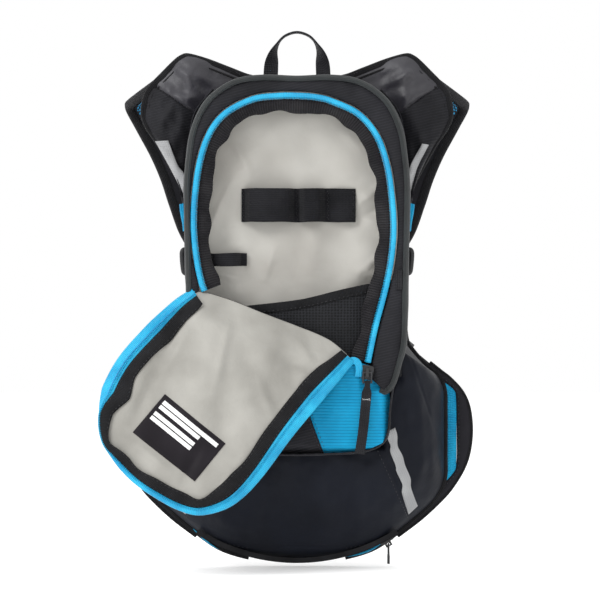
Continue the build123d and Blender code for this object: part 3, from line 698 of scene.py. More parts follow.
compartmentHalf = [(0, 446), (29, 447), (54, 444), (73, 434.5), (87, 420), (97, 397), (101, 371),
                   (103, 347), (102.7, 316), (101.5, 260), (100, 204), (95, 182), (88.5, 163), (85.5, 140),
                   (84.5, 124), (79, 111), (61.5, 103), (25, 100.5), (0, 100)]
compartmentLoop = through(compartmentHalf + [(-x, z) for x, z in reversed(compartmentHalf[1:-1])], 420,
                          closed=True)
zipLine = through([(-84.6, 250), (-87.5, 258), (-91.5, 277), (-94.5, 306), (-93.5, 337), (-88.5, 370),
                   (-79, 396), (-64, 413.5), (-40, 425.5), (-17, 428.5), (3, 428.5), (18, 427.2),
                   (32, 423.5), (56, 412), (73, 392), (82.5, 365), (87, 335), (88.5, 306), (86, 277),
                   (80, 248), (72, 218), (65, 185)], 420)
hinge = {"left": (-84, 250), "right": (64, 194.4), "depth": frontDepth - 1}
hingeRun = np.array(hinge["right"], float) - np.array(hinge["left"], float)
hingeRun /= np.linalg.norm(hingeRun)


def belowHinge(x, z):
    # distance below the hinge line in the front plane
    return (x - hinge["left"][0]) * hingeRun[1] - (z - hinge["left"][1]) * hingeRun[0]


# yoke
yoke = {
    "seamTop": (91, 414.5), "seamEnd": (135, 443),
    "shoulderIn": [(0, 446), (29, 447), (54, 444), (73, 434.5), (87, 420), (91, 413)],
    "shoulderOut": [(0, 448), (44, 450.5), (63, 457.5), (84, 465.5), (101, 470.5), (107, 469.5),
                    (113, 465), (124, 454), (135, 443)],
    "sideIn": [(91, 413), (97, 397), (101, 371), (103, 347), (102.7, 316), (101.5, 260), (99.5, 225)],
    "sideOut": [(135, 443), (141.5, 433), (144.5, 416), (140.5, 403), (130, 388), (117, 366), (106.5, 346),
                (103, 333), (102, 315), (101, 285), (100, 250)],
    "folds": {  # x, height to x, height, then half-width and rise
        1: [(72, 437, 104, 452, 5, 3.2), (84, 428, 118, 437, 6, 2.6), (62, 447, 92, 461, 4, 1.8),
            (98, 428, 108, 395, 6, 2.8), (108, 424, 116, 384, 5, 2.0), (102, 396, 106, 358, 5, 2.2),
            (118, 420, 132, 412, 6, 1.4), (98, 455, 124, 446, 4, 1.5)],
        -1: [(70, 438, 96, 454, 5, 3.6), (82, 430, 112, 428, 6, 3.0), (60, 448, 86, 462, 4, 1.8),
             (94, 440, 112, 458, 5, 2.4), (104, 418, 112, 388, 6, 2.4), (112, 428, 128, 404, 5, 1.8),
             (100, 398, 104, 360, 5, 2.2), (118, 440, 126, 425, 5, 1.6)],
    },
    "band": [(0, 446), (24, 446.5), (44, 449), (63, 456), (84, 464), (101, 468.7), (107, 467.5),
             (113, 463), (123.5, 452.5), (134, 441.5), (140, 432), (142.7, 416.5), (139, 404),
             (128.5, 388.5), (116, 366.5), (105, 346), (101.5, 333), (99.5, 315), (98.5, 295), (97.5, 270),
             (97, 250)],
}


def yokeDepth(x, z, v, side):
    # rises from the seam by the compartment to a crown, then
    # falls to the edge; flat near the reservoir's mouth
    free = smooth((abs(x) - 76) / 26)
    crown = 4.2 + free * (3.0 + 8.5 * np.sin(np.pi * np.clip(v, 0, 1)) ** 0.8 - 3.5 * v)
    seam = folds(abs(x), z, [(88, 412, 138, 445, 1.5, -2.4)])
    fine = (0.9 * swell(x, z, 21, 7) + 0.5 * swell(x, z, 11, 8)) * free
    wrinkle = folds(abs(x), z, yoke["folds"][side]) + fine
    ends = np.sin(np.pi * np.clip(v, 0.02, 0.98)) ** 0.5
    return crown + 1.35 * wrinkle * (0.35 + 0.65 * free) * ends + seam * free


for side, word in ((1, "Right"), (-1, "Left")):
    for part, cloths, slot in (("shoulder", "satin", "satin_fabric"), ("side", "ripstop", "ripstop_black")):
        a = through(yoke[part + "In"], 150)
        b = through(yoke[part + "Out"], 150)
        flatGrid = across(a, b, 56)
        v = np.linspace(0, 1, 56)[:, None]
        x, z = flatGrid[..., 0], flatGrid[..., 1]
        points = grid(side * x, yokeDepth(x, z, v, side), z)
        piece = sheetMesh("yoke" + part.capitalize() + word, points, cloth[cloths], plane=True, thick=1.2)
        node = {"shoulder": "yoke_shoulders", "side": "yoke_sides"}[part]
        finishPiece(piece, "pack", slot, node)
bandLine = through(leftAndRight(yoke["band"]), 460)
bandPath = at(bandLine, 2.2)
bandPath[:, 1] += 2.0 * smooth((abs(bandLine[:, 0]) - 92) / 30)
piece = swept("yokeEdgeBand", bandPath, roundSection(6.6, 5.6, 14, 3), tape["blackBinding"])
finishPiece(piece, "pack", "binding", "yoke_bindings")
inner = offsetLine(bandLine, 5.2)
cordPath = at(inner, 0)
cordPath[:, 1] = bandPath[:, 1] + 3.0
piece = swept("yokeEdgeCord", cordPath, roundSection(1.8, 1.8, 8), tape["blackBinding"])
finishPiece(piece, "pack", "binding")
strips = {  # outer edge, then inner edge, from the top down
    "Right": ([(123.5, 386), (116, 371), (109, 353), (103.5, 335)],
              [(116, 387), (105, 366), (101, 350), (101.5, 335)]),
    "Left": ([(-132, 389.5), (-122, 372), (-111.5, 352), (-103.5, 335)],
             [(-119.5, 390), (-111, 368), (-104, 357), (-102.4, 335)]),
}
for word, (outer, inside) in strips.items():
    a, b = through(outer, 60), through(inside, 60)
    flatGrid = across(b, a, 12)
    x, z = flatGrid[..., 0], flatGrid[..., 1]
    v = blendOf(0.35, 0.86, np.linspace(0, 1, 12))[:, None]
    points = grid(x, yokeDepth(abs(x), z, v, 1 if word == "Right" else -1) + 3.4, z)
    piece = sheetMesh("yokeReflectiveStrip" + word, points, cloth["reflective"], thick=0.4)
    finishPiece(piece, "pack", "reflective", "yoke_reflective_strips")
print("yoke made")

# grab loop
loop = {"width": 13.5, "thick": 2.0, "foot": 24.5, "reach": 26.5, "bottom": 444}
path = through([(-loop["foot"], 3, loop["bottom"]), (-loop["foot"], 3, 452), (-23.5, 1, 464),
                (-20, -1, 477), (-12.5, -1.5, 487.5), (0, -1.5, 491.8 + loopTop - 494.4),
                (12.5, -1.5, 487.5), (20, -1, 477), (23.5, 1, 464), (loop["foot"], 3, 452),
                (loop["foot"], 3, loop["bottom"])], 180)
turn = smooth((path[:, 2] - 452) / 34) * np.pi / 2
tangent = np.gradient(path, axis=0)
tangent /= np.linalg.norm(tangent, axis=1)[:, None]
flatWay = np.cross(tangent, np.broadcast_to(np.array((0, 1.0, 0)), tangent.shape))
flatWay /= np.linalg.norm(flatWay, axis=1)[:, None]
wide = flatWay * np.cos(turn)[:, None] + np.array((0, 1.0, 0)) * np.sin(turn)[:, None]
wide -= tangent * (wide * tangent).sum(1)[:, None]
thin = np.cross(wide, tangent)
section = roundSection(loop["width"], loop["thick"], 20, 5)
rings = path[:, None] + wide[:, None] * section[None, :, :1] + thin[:, None] * section[None, :, 1:]
loopMiddle = path[np.linspace(0, len(path) - 1, 45).astype(int)]


def awayFromLoop(centres):
    # from the nearest of 45 points along the loop's middle to the centre of each face
    apart = ((centres[:, None] - loopMiddle[None]) ** 2).sum(2)
    return centres - loopMiddle[apart.argmin(1)]


piece = sheetMesh("grabLoopWebbing", rings, tape["webbing"], outward=awayFromLoop, wrap=True, cap=True)
finishPiece(piece, "pack", "webbing", "grab_loop")

# compartment
gusset = {"front": frontDepth - 1, "back": liningDepth - 1, "bulge": 1.6}
rows = 22
v = np.linspace(0, 1, rows)
points = []
for share in v:
    line = offsetLine(compartmentLoop, 0.6 - gusset["bulge"] * math.sin(math.pi * share), closed=True)
    points.append(at(line, blendOf(gusset["front"], gusset["back"] - 1, share)))
points = np.array(points)
points += swell(points[..., 0] + points[..., 1], points[..., 2], 30, 3)[...,
        None] * np.array((0.35, 0, 0.35))
compartmentMiddle = np.array((0, 50, 270.0))
piece = sheetMesh("compartmentGusset", points, cloth["ripstop"],
                  outward=lambda c: (c - compartmentMiddle) * (1, 0, 1), wrap=True, thick=1.2)
finishPiece(piece, "pack", "ripstop_black", "main_gusset")
sleeveOut = through([(-78, 437), (-96, 412), (-101, 371), (-102.5, 330), (-101.5, 260), (-99, 204),
                     (-88, 163), (-84, 124), (-70, 98), (-40, 92), (0, 91), (40, 92), (70, 98), (84, 124),
                     (88, 163), (99, 204), (101.5, 260), (102.5, 330), (101, 371), (96, 412), (78, 437)],
                    320)
points = np.array([at(offsetLine(sleeveOut, -1.2 * math.sin(math.pi * s)), blendOf(gusset["back"], 3.0, s))
                   for s in np.linspace(0, 1, 16)])
piece = sheetMesh("reservoirSleeveWall", points, cloth["ripstop"],
                  outward=lambda c: (c - compartmentMiddle) * (1, 0, 1), thick=1.2)
finishPiece(piece, "pack", "ripstop_black", "sleeve_wall")
ring = offsetLine(compartmentLoop, 1.5, closed=True)
flatGrid = region(ring, (0, 260), 40, 0.02)
points = grid(flatGrid[..., 0], gusset["back"] - 1.5
              + 0.8 * swell(flatGrid[..., 0], flatGrid[..., 1], 60, 5), flatGrid[..., 1])
piece = sheetMesh("reservoirSleeveFront", points, cloth["lining"], wrap=True, thick=1.0)
finishPiece(piece, "pack", "grey_lining", "sleeve_front")
pipe = [(0, 443.8), (29, 444.8), (52.5, 442), (70.8, 432.6), (84.4, 418.6), (94.4, 396), (98.6, 370),
        (100.4, 346), (100.1, 316), (98.8, 260), (97.6, 206), (93, 184), (87.6, 166)]
pipeLine = through([(-76, 158)] + flipX(pipe)[:-1] + pipe + [(81, 158.5), (75, 159.5)], 560)
sink = smooth((166 - pipeLine[:, 1]) / 10) * 3
piece = swept("compartmentPiping", at(pipeLine, frontDepth + 0.4 - sink), roundSection(5.4, 5.4, 14),
              tape["piping"])
finishPiece(piece, "pack", "piping", "front_piping")


def borderDepth(x, z, v):
    # a low crown between the piping and the zip tape, with shallow puckers from the seams
    return frontDepth - 1.2 + 2.0 * np.sin(np.pi * v) ** 0.7 + 0.35 * swell(x, z, 16, 11) + 0.3 * swell(x,
            z, 9, 12)


outerBorder = through([(-99.5, 245), (-100.5, 290), (-101, 345), (-98.5, 371), (-94.5, 396),
                       (-84.5, 418.5), (-71.5, 431), (-53, 441), (-29, 444), (0, 443.2), (29, 444),
                       (53, 441), (71.5, 431), (84.5, 418.5), (94.5, 396), (98.5, 371), (100.5, 345),
                       (100.2, 316), (99, 260), (97.5, 206), (92.5, 183), (86.5, 166), (80, 159)], 420)
innerBorder = through([(-88.5, 245), (-90.5, 262), (-95, 280), (-97.8, 306), (-96.7, 338), (-91.6, 371),
                       (-81.8, 397.6), (-66, 416.2), (-41.3, 428.6), (-17, 431.8), (3, 431.8),
                       (18.5, 430.5), (33.2, 426.6), (58, 414.6), (75.8, 393.6), (85.6, 365.8),
                       (90.2, 335.2), (91.8, 306), (89.3, 276.5), (83.2, 247.2), (75.2, 217.2),
                       (69.5, 190), (68, 170)], 420)
flatGrid = across(outerBorder, innerBorder, 26)
v = np.linspace(0, 1, 26)[:, None]
x, z = flatGrid[..., 0], flatGrid[..., 1]
piece = sheetMesh("compartmentFrontBorder", grid(x, borderDepth(x, z, v), z), cloth["ripstop"], plane=True,
                  thick=1.2)
finishPiece(piece, "pack", "ripstop_black", "front_border")

tapeEdge = {"width": 4.8, "rise": 1.6}


def bandOn(line, depth, width, rise, count=12, power=0.5):
    # a band centred on a line: crowned across, rise * (1 - s^2)^power for s from -1 to 1
    s = np.linspace(-1, 1, count)
    rows = [at(offsetLine(line, k * width / 2), depth + rise * max(0.0, 1 - k * k) ** power) for k in s]
    return np.array(rows)


piece = sheetMesh("mainZipTapeCoated", bandOn(zipLine, tapeDepth - 0.9, tapeEdge["width"],
                                              tapeEdge["rise"]), tape["blueZip"], thick=1.0)
finishPiece(piece, "pack", "blue_zip", "main_zip_tape")
coilRow("mainZipCoil", at(offsetLine(zipLine, tapeEdge["width"] / 2 + 0.1), tapeDepth - 1.3), "pack",
        tape["blueZip"], radius=0.75, pitch=1.5, wireRadius=0.32)
along = np.linspace(0, 1, len(zipLine))
wave = 1.2 * np.sin(along * 71) + 0.9 * np.sin(along * 43 + 1.3) + 0.7 * np.sin(along * 117 + 0.4)
flangeRows = []
for s in np.linspace(0, 1, 14):
    line = offsetLine(zipLine, 3.4 + s * (11.5 + wave))
    flangeRows.append(at(line, tapeDepth - 4.6 - 5.0 * s ** 1.6 + 0.9 * math.sin(math.pi * s)
                         + 0.35 * wave * s))
piece = sheetMesh("zipFlangeGrosgrain", np.array(flangeRows), tape["ribFlange"], thick=1.2)
finishPiece(piece, "pack", "binding", "zip_flange")
print("compartment front made")

# lining
lining = {"wall": liningDepth + 4, "centre": (0, 275),
          "folds": [(-84, 300, -60, 350, 4, 1.6), (-60, 392, -44, 360, 4, 1.2), (56, 330, 84, 352, 4, 1.8),
                    (50, 312, 84, 330, 5, -1.6), (58, 268, 84, 288, 4, 1.8), (-84, 268, -52, 262, 4, 1.4),
                    (36, 402, 62, 380, 5, 1.2), (-30, 262, -20, 292, 4, 1.2),
                    (-70, 330, -20, 400, 16, 2.6), (-40, 260, 10, 330, 18, 2.2),
                    (20, 300, 60, 392, 14, 2.4), (40, 240, 78, 300, 12, 3.0),
                    (-78, 280, -40, 300, 10, 2.4), (52, 340, 84, 330, 7, 2.2), (56, 322, 86, 306, 6, 2.0),
                    (-20, 400, 30, 418, 10, 1.6), (60, 268, 88, 262, 6, 2.2), (10, 262, 20, 320, 9, 1.6)]}
ring = offsetLine(compartmentLoop, 6.0, closed=True)
liningRows = []
for t in np.linspace(0, 1, 90):
    wall = min(1.0, t / 0.22)
    shrink = 1 - 0.05 * wall if t < 0.22 else 0.95 * (1 - (t - 0.22) / 0.78) + 0.004
    flatRow = np.array(lining["centre"]) + (ring - np.array(lining["centre"])) * shrink
    depth = blendOf(frontDepth - 7, lining["wall"], float(smooth(wall)))
    depth = depth - 2.4 * float(smooth((t - 0.22) / 0.5))
    row = at(flatRow, depth)
    row[:, 1] += (1.5 * folds(flatRow[:, 0], flatRow[:, 1], lining["folds"])
                  + 1.2 * swell(flatRow[:, 0], flatRow[:, 1], 44, 21)) * float(smooth((t - 0.1) / 0.25))
    liningRows.append(row)
liningRows = np.array(liningRows)
piece = sheetMesh("compartmentLiningTaffeta", liningRows, cloth["lining"], wrap=True, plane=True, thick=0.8)
finishPiece(piece, "pack", "grey_lining", "compartment_lining")


def elasticBand(name, node, path, low, high, seed):
    # elastic: a line in x and depth, raised between two heights, its edges drawn in a little
    path = through(path, 150)
    heights = np.linspace(0, 1, 18)
    rows = [np.stack([path[:, 0], path[:, 1] - 0.8 * (2 * h - 1) ** 4,
                      np.full(len(path), blendOf(low, high, h))
                      + 0.5 * swell(path[:, 0], path[:, 0] * 0 + h * 30, 30, seed)], 1)
            for h in heights]
    piece = sheetMesh(name, np.array(rows), tape["elastic"], thick=1.4)
    finishPiece(piece, "pack", "elastic", node)
    return path


strapBase = liningDepth + 6.2
elasticBand("toolStrapElastic", "tool_strap",
            [(-51, strapBase), (-48.5, strapBase + 0.5), (-46, strapBase + 6),
             (-42, strapBase + 11.5), (-33, strapBase + 13), (-18, strapBase + 13), (-8.5, strapBase + 11),
             (-4.5, strapBase + 5.5), (-2, strapBase + 0.4), (1.5, strapBase + 0.4), (4, strapBase + 6),
             (8, strapBase + 12.5), (14, strapBase + 14), (20, strapBase + 12.5), (24, strapBase + 6),
             (27, strapBase + 0.8), (34, strapBase + 2.4), (44, strapBase + 3), (51, strapBase + 1.6),
             (54, strapBase)], 313.5, 344.5, 4)
elasticBand("smallStrapElastic", "small_strap",
            [(-84, strapBase), (-81, strapBase + 2), (-79, strapBase + 9), (-74, strapBase + 14),
             (-66, strapBase + 15.5), (-58, strapBase + 14), (-53, strapBase + 8), (-51, strapBase + 1.5),
             (-46, strapBase)], 273, 285, 5)
for name, x in (("toolStrapTackMiddle", -0.3), ("toolStrapTackLeft", -49.5), ("toolStrapTackRight", 28.5),
                ("toolStrapTackEnd", 52)):
    lengthwise = np.linspace(316, 342, 14)
    zigzag = np.stack([x + 0.9 * (-1) ** np.arange(14), np.full(14, strapBase + (1.3 if x < 28 else 2.3)),
                       lengthwise], 1)
    stitchRow(name, zigzag, "pack", "elastic", hard["blackThread"], length=1.6, gap=0.4, radius=0.3)
pocket = {"edge": [(-96, 233), (-70, 234), (-29, 238), (0, 241.5), (15, 244.5), (45, 252), (80, 259),
                   (96, 260)], "depth": 61.5}
edge = through(pocket["edge"], 180)
floor = through([(-97, 170), (-60, 160), (0, 158), (60, 162), (96, 172)], 180)
flatGrid = across(edge, floor, 40)
x, z = flatGrid[..., 0], flatGrid[..., 1]
bag = pocket["depth"] + 2.6 * np.cos(x / 96 * np.pi / 2) + folds(x, z,
        [(-60, 238, -40, 170, 9, 2.2), (-10, 240, 4, 168, 10, -2.0), (30, 248, 24, 176, 9, 2.0),
         (60, 254, 56, 190, 8, -1.6)])
piece = sheetMesh("meshPocketNet", grid(x, bag, z), mesh["pocket"], plane=True, thick=0.8)
finishPiece(piece, "pack", "pocket_mesh", "mesh_pocket")
round(areaOf(grid(x, bag, z)), 4)
top = offsetLine(edge, -0.6)
bottom = offsetLine(edge, 8.2)
flatGrid = across(top, bottom, 12)
x, z = flatGrid[..., 0], flatGrid[..., 1]
v = np.linspace(-1, 1, 12)[:, None]
over = pocket["depth"] + 2.6 * np.cos(x / 96 * np.pi / 2) + folds(x, z,
        [(-60, 238, -40, 170, 9, 2.2), (-10, 240, 4, 168, 10, -2.0), (30, 248, 24, 176, 9, 2.0),
         (60, 254, 56, 190, 8, -1.6)])
piece = sheetMesh("meshPocketBinding", grid(x, over + 0.6 + 1.4 * np.sqrt(np.clip(1 - v ** 2, 0, 1)), z),
                  tape["blackBinding"], thick=1.0)
finishPiece(piece, "pack", "binding", "mesh_pocket_binding")
stitchRow("meshPocketStitches", grid(x[9], over[9] + 1.9, z[9]), "pack", "binding", hard["blackThread"],
          length=2.6, gap=1.4, radius=0.32)
print("compartment inside made")

# lower front, below the hinge
lowerFront = {
    "blue": [(4, 157), (10, 141), (17, 122), (25, 101), (40, 101.5), (61.5, 103.6), (79, 112.2), (85, 125),
             (85.6, 143), (85, 158), (82, 170), (74, 180), (60, 184), (40, 184), (20, 196), (0, 204)],
    "black": [(25, 101), (17, 122), (10, 141), (4, 157), (0, 204), (-40, 222), (-84, 243), (-100, 246),
              (-99, 204), (-87.5, 163), (-84, 130), (-79, 112), (-61.5, 103.5), (-25, 101)],
    "folds": [(30, 170, 42, 112, 8, 1.8), (52, 168, 70, 120, 9, 2.2), (20, 150, 60, 140, 10, 1.4),
              (70, 160, 82, 132, 5, 1.4), (36, 106, 70, 112, 6, 1.2)],
}


def lowerFrontDepth(x, z):
    # flat with soft folds, rolled back along the bottom and the side, and dipped at the centre seam
    edgeIn = np.minimum(z - 100.5, 86.5 - abs(x))
    roll = -11 * (1 - smooth(edgeIn / 11)) ** 1.5
    under = 3.2 * smooth((z - 158) / 6) * smooth((abs(x) - 56) / 8)
    seam = folds(x, z, [(2, 163, 25, 100, 1.4, -1.3)])
    crown = 1.6 * np.cos(np.clip(x / 90, -1, 1) * np.pi / 2)
    return frontDepth - 0.8 + crown + roll + seam - under + folds(x, z,
            lowerFront["folds"]) * smooth(edgeIn / 12) + 0.3 * swell(x, z, 17, 33)


for part, cloths, slot, node, centre in (("blue", "blueRipstop", "blue_ripstop", "lower_front_blue",
                                          (42, 146)),
                                         ("black", "ripstop", "ripstop_black", "lower_front_black",
                                          (-40, 165))):
    ring = evenly(np.array(lowerFront[part], float), 360, closed=True)
    flatGrid = region(ring, centre, 60, 0.004)
    x, z = flatGrid[..., 0], flatGrid[..., 1]
    piece = sheetMesh("lowerFront" + part.capitalize(), grid(x, lowerFrontDepth(x, z), z), cloth[cloths],
                      wrap=True, plane=True, thick=1.0)
    finishPiece(piece, "pack", slot, node)
seamLine = through([(4, 157), (10, 141), (17, 122), (24.6, 102.5)], 60)
for side in (-2.2, 2.2):
    line = offsetLine(seamLine, side)
    stitchRow("lowerFrontStitches" + ("Left" if side < 0 else "Right"),
              at(line, lowerFrontDepth(line[:, 0], line[:, 1]) + 0.2), "pack", "blue_ripstop",
              hard["blackThread"])

# lower body
lower = {
    "edge": [(97.5, 258), (98.5, 235), (101, 205), (108, 193), (119.5, 180.5), (131, 171), (136.5, 158),
             (137.2, 140), (137.2, 100), (136.5, 75), (128, 57), (112, 41.5), (92, 25.5), (71, 11.5),
             (46, 3.6), (22, 0.8), (0, 0.2)],
    "depth": 57, "focus": (0, 262),
    "folds": [(-60, 95, -72, 30, 10, 3.4), (-20, 92, -28, 20, 12, 3.0), (18, 90, 26, 22, 10, 3.2),
              (52, 96, 58, 30, 8, 3.0), (112, 150, 116, 80, 5, 2.4), (124, 150, 126, 80, 4, 2.0),
              (100, 150, 110, 100, 5, 2.6), (118, 96, 104, 62, 5, 2.2), (126, 128, 132, 92, 3.5, 1.6),
              (104, 196, 112, 160, 4, 1.6), (-100, 150, -112, 70, 10, 2.6), (96, 190, 118, 120, 8, 2.2),
              (110, 170, 126, 90, 7, 2.0), (86, 205, 104, 160, 6, 2.0), (-86, 205, -104, 160, 6, 2.0),
              (-110, 170, -126, 90, 7, 2.0), (0, 60, 4, 12, 18, -1.8), (-90, 60, -60, 30, 8, 1.8),
              (88, 100, 60, 84, 7, 1.6), (30, 98, 70, 88, 6, 1.5), (-40, 98, 10, 90, 6, 1.4)],
    "seams": [(73, 112, 105, 41, 1.5, -1.6), (-73, 112, -105, 41, 1.5, -1.6),
              (-92, 24, -45, 14, 1.4, -1.2), (-45, 14, 45, 14, 1.4, -1.2), (45, 14, 92, 24, 1.4, -1.2),
              (99, 205, 128, 120, 1.3, -0.9), (-99, 205, -128, 120, 1.3, -0.9)],
}


def lowerDepth(x, z, t):
    # pillow: a quarter of a superellipse from the edge, power 2.3, flat past 0.42 of the way to the focus
    s = np.clip(t / 0.42, 0, 1)
    rise = (1 - (1 - s) ** 2.3) ** (1 / 1.9)
    full = lower["depth"] * (0.82 + 0.18 * smooth((z - 10) / 80)) - 12 * smooth((z - 190) / 70)
    bound = 82 + 17 * smooth((z - 124) / 80)
    covered = smooth(np.minimum(bound - abs(x), z - 104) / 9)
    detail = folds(x, z, lower["folds"]) + folds(x, z, lower["seams"])
    detail = detail + 0.8 * swell(x, z, 30, 41) + 0.4 * swell(x, z, 13, 42)
    return blendOf(0.4 + full * rise + detail * smooth(t / 0.05), 33.5, covered)


edgeRight = through(lower["edge"], 300)
lowerEdge = evenly(np.vstack([edgeRight, edgeRight[::-1][1:] * (-1, 1)]), 430)
t = np.linspace(0, 0.985, 112) ** 1.35
focus = np.array(lower["focus"], float)
flatGrid = focus + (lowerEdge[None] - focus) * (1 - t)[:, None, None]
x, z = flatGrid[..., 0], flatGrid[..., 1]
lowerPoints = grid(x, lowerDepth(x, z, t[:, None]), z)
piece = sheetMesh("lowerBodyNylon", lowerPoints, cloth["bodyNylon"], plane=True, thick=1.4)
finishPiece(piece, "pack", "black_fabric", "lower_sides", "lower_front", "base_panel")


def onLower(x, z):
    # depth of the lower body at a point, by its share of the way from the edge to the focus
    x, z = np.asarray(x, float), np.asarray(z, float)
    angle = np.arctan2(x, focus[1] - z)
    edgeAngle = np.arctan2(lowerEdge[:, 0], focus[1] - lowerEdge[:, 1])
    reach = np.hypot(lowerEdge[:, 0], focus[1] - lowerEdge[:, 1])
    order = np.argsort(edgeAngle)
    full = np.interp(angle, edgeAngle[order], reach[order])
    return lowerDepth(x, z, np.clip(1 - np.hypot(x, focus[1] - z) / full, 0, 1))


strips = {"outer": [(90, 125), (92, 118), (92.5, 108), (97, 99), (99.5, 90), (104.5, 78), (105, 70),
                    (108, 61), (112, 51)],
          "inner": [(80.5, 120), (85.5, 109), (85.5, 103), (90.5, 90), (91.5, 84), (97, 72), (97, 63),
                    (103.5, 43)]}
for side, word in ((1, "Right"), (-1, "Left")):
    flatGrid = across(through(strips["outer"], 70), through(strips["inner"], 70), 12)
    x, z = side * flatGrid[..., 0], flatGrid[..., 1]
    piece = sheetMesh("lowerReflectiveStrip" + word, grid(x, onLower(x, z) + 0.9, z), cloth["reflective"],
                      thick=0.4)
    finishPiece(piece, "pack", "reflective", "lower_reflective_strips")
    for seam, shift in (((73, 112, 105, 41), 2.4), ((45, 14, 92, 24), 2.4)):
        line = offsetLine(evenly(np.array([seam[:2], seam[2:]], float), 50), shift)
        x, z = side * line[:, 0], line[:, 1]
        stitchRow("lowerSeamStitches" + word + str(seam[0]), grid(x, onLower(x, z) + 0.15, z), "pack",
                  "black_fabric", hard["blackThread"])
rimLine = lowerEdge[abs(lowerEdge[:, 0]) > 44]
for side, word in ((1, "Right"), (-1, "Left")):
    half = rimLine[rimLine[:, 0] * side > 0]
    piece = swept("lowerBodyEdgeBinding" + word, at(half, 1.2), roundSection(7.0, 5.0, 14, 3),
                  tape["blackBinding"])
    finishPiece(piece, "pack", "binding")
print("lower body made")

# fins
fin = {
    "stripeIn": [(137.2, 164.5), (137.4, 140), (137.6, 110), (137.6, 85), (137.4, 72)],
    "stripeOut": [(139.5, 164), (146.5, 158), (148.6, 150), (148.8, 115), (148.6, 90), (147.6, 83),
                  (138.4, 72)],
    "edgeIn": [(122, 179), (131, 171), (138.5, 165), (146.6, 158), (148.4, 149), (148.9, 115), (148.6, 90),
               (146.6, 82), (138.2, 72), (130, 61), (112, 44.5), (92, 28)],
    "edgeOut": [(124, 184), (134, 176), (144, 168), (154.5, 156), (160.5, 142), (162.8, 122), (161, 102),
                (156, 86), (147, 70.5), (137, 58), (117, 39), (94, 21.5)],
}
finParts = (  # name, outlines, cloth, slot, node and depth of its base
    ("Stripe", ("stripeIn", "stripeOut"), tape["blueWebbing"], "blue_webbing", "fin_stripes", 1.4),
    ("Edge", ("edgeIn", "edgeOut"), cloth["finNylon"], "black_fabric", "fin_edges", 1.8),
)
for side, word in ((1, "Right"), (-1, "Left")):
    for part, ends, material, slot, node, base in finParts:
        flatGrid = across(through(fin[ends[0]], 120), through(fin[ends[1]], 120), 18)
        v = np.linspace(0, 1, 18)[:, None]
        x, z = flatGrid[..., 0], flatGrid[..., 1]
        points = grid(side * x, base + 1.2 * np.sin(np.pi * v) ** 0.6 + 0.25 * swell(x, z, 13, 51), z)
        piece = sheetMesh("fin" + part + word, points, material, thick=3.2)
        finishPiece(piece, "pack", slot, node)
    piece = swept("finBinding" + word, at(through(fin["edgeOut"], 120), 0.4) * (side, 1, 1),
                  roundSection(3.0, 5.6, 12, 3), tape["blackBinding"])
    finishPiece(piece, "pack", "binding")
    inner = through(fin["edgeIn"], 120)
    stitchRow("finStitches" + word, at(offsetLine(inner, -2), 3.3) * (side, 1, 1), "pack", "black_fabric",
              hard["blackThread"])

# flap
flap = {
    "free": [(-94, 250), (-110.8, 237.5), (-136.7, 211.5), (-156.7, 188.1), (-169.8, 163.9), (-177, 139.8),
             (-174.6, 117.8), (-165.1, 102.5), (-146, 82.4), (-125.5, 68.1), (-105.2, 57.5), (-86.4, 53.1),
             (-65.7, 58.1), (-49.4, 68.9), (-32, 88.3), (-6.8, 122.6), (19.7, 154.4), (36.5, 172.9),
             (50, 188)],
    "fold": [(50, 188), (36, 201), (24, 208.5), (3, 217.2), (-32, 230.5), (-58, 241), (-80, 248),
             (-94, 250)],
    "slope": math.tan(math.radians(180 - 158)),
    "folds": [(-60, 226, -74, 160, 5, 1.5), (-100, 214, -120, 176, 5, 1.3),
              (-128, 176, -148, 128, 6, -1.6), (-140, 112, -112, 90, 4, 1.4), (-60, 84, -70, 66, 4, 1.2),
              (-36, 176, -22, 138, 5, 1.3), (0, 208, 14, 186, 4, 1.4), (-84, 118, -104, 76, 5, -1.4),
              (-70, 236, -92, 120, 15, 3.4), (-112, 226, -128, 168, 13, -3.0),
              (-20, 216, -52, 110, 16, 2.6), (-128, 196, -150, 140, 12, 3.0),
              (-104, 190, -88, 150, 14, -2.6), (-46, 190, -20, 150, 9, -2.2),
              (-150, 118, -110, 78, 10, 2.4), (-60, 92, -40, 110, 8, 2.2), (8, 196, 2, 160, 8, 2.2),
              (-88, 240, -108, 224, 6, -2.0), (-66, 150, -60, 100, 12, -1.8), (-14, 190, 14, 178, 6, -1.8)],
}
free = through(flap["free"], 420)
foldLine = through(flap["fold"], 160)
share = np.linspace(0, 1, len(free))
wave = 1.5 * np.sin(share * 29 + 0.6) + 1.2 * np.sin(share * 47 + 2.1) + 0.6 * np.sin(share * 83)
wave = wave * (1 - 0.75 * smooth((share - 0.68) / 0.06))
tapeWide = np.interp(share, [0, 0.1, 0.25, 0.295, 0.365, 0.41, 0.55, 0.72, 0.9, 1],
                     [5.2, 8.2, 7.6, 1.0, 1.0, 3.4, 4.2, 6.6, 8.6, 6.2])


def flapDepth(x, z):
    # the hinge's depth plus the slope times the distance below it, bowed outwards a little, with folds
    d = np.clip(belowHinge(x, z), -4, 230)
    bow = 5.0 * np.sin(np.pi * np.clip(d / 200, 0, 1))
    curl = folds(x, z, flap["folds"]) * smooth(d / 30) * 2.0 + 0.9 * swell(x, z, 30, 61) * smooth(d / 20)
    return hinge["depth"] + 1.5 + flap["slope"] * d + bow * 0.6 + curl


def onFlap(line, lift, curlBack=0.0):
    # a line lifted off the flap's sheet, less what its edge curls back
    return at(line, flapDepth(line[:, 0], line[:, 1]) + lift - curlBack)


def ridesFlap(piece, slot, *nodes):
    # hides the plain nodes it stands for and bakes the piece's transform; the slot is not used
    if nodes:
        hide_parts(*nodes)
    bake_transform(piece)


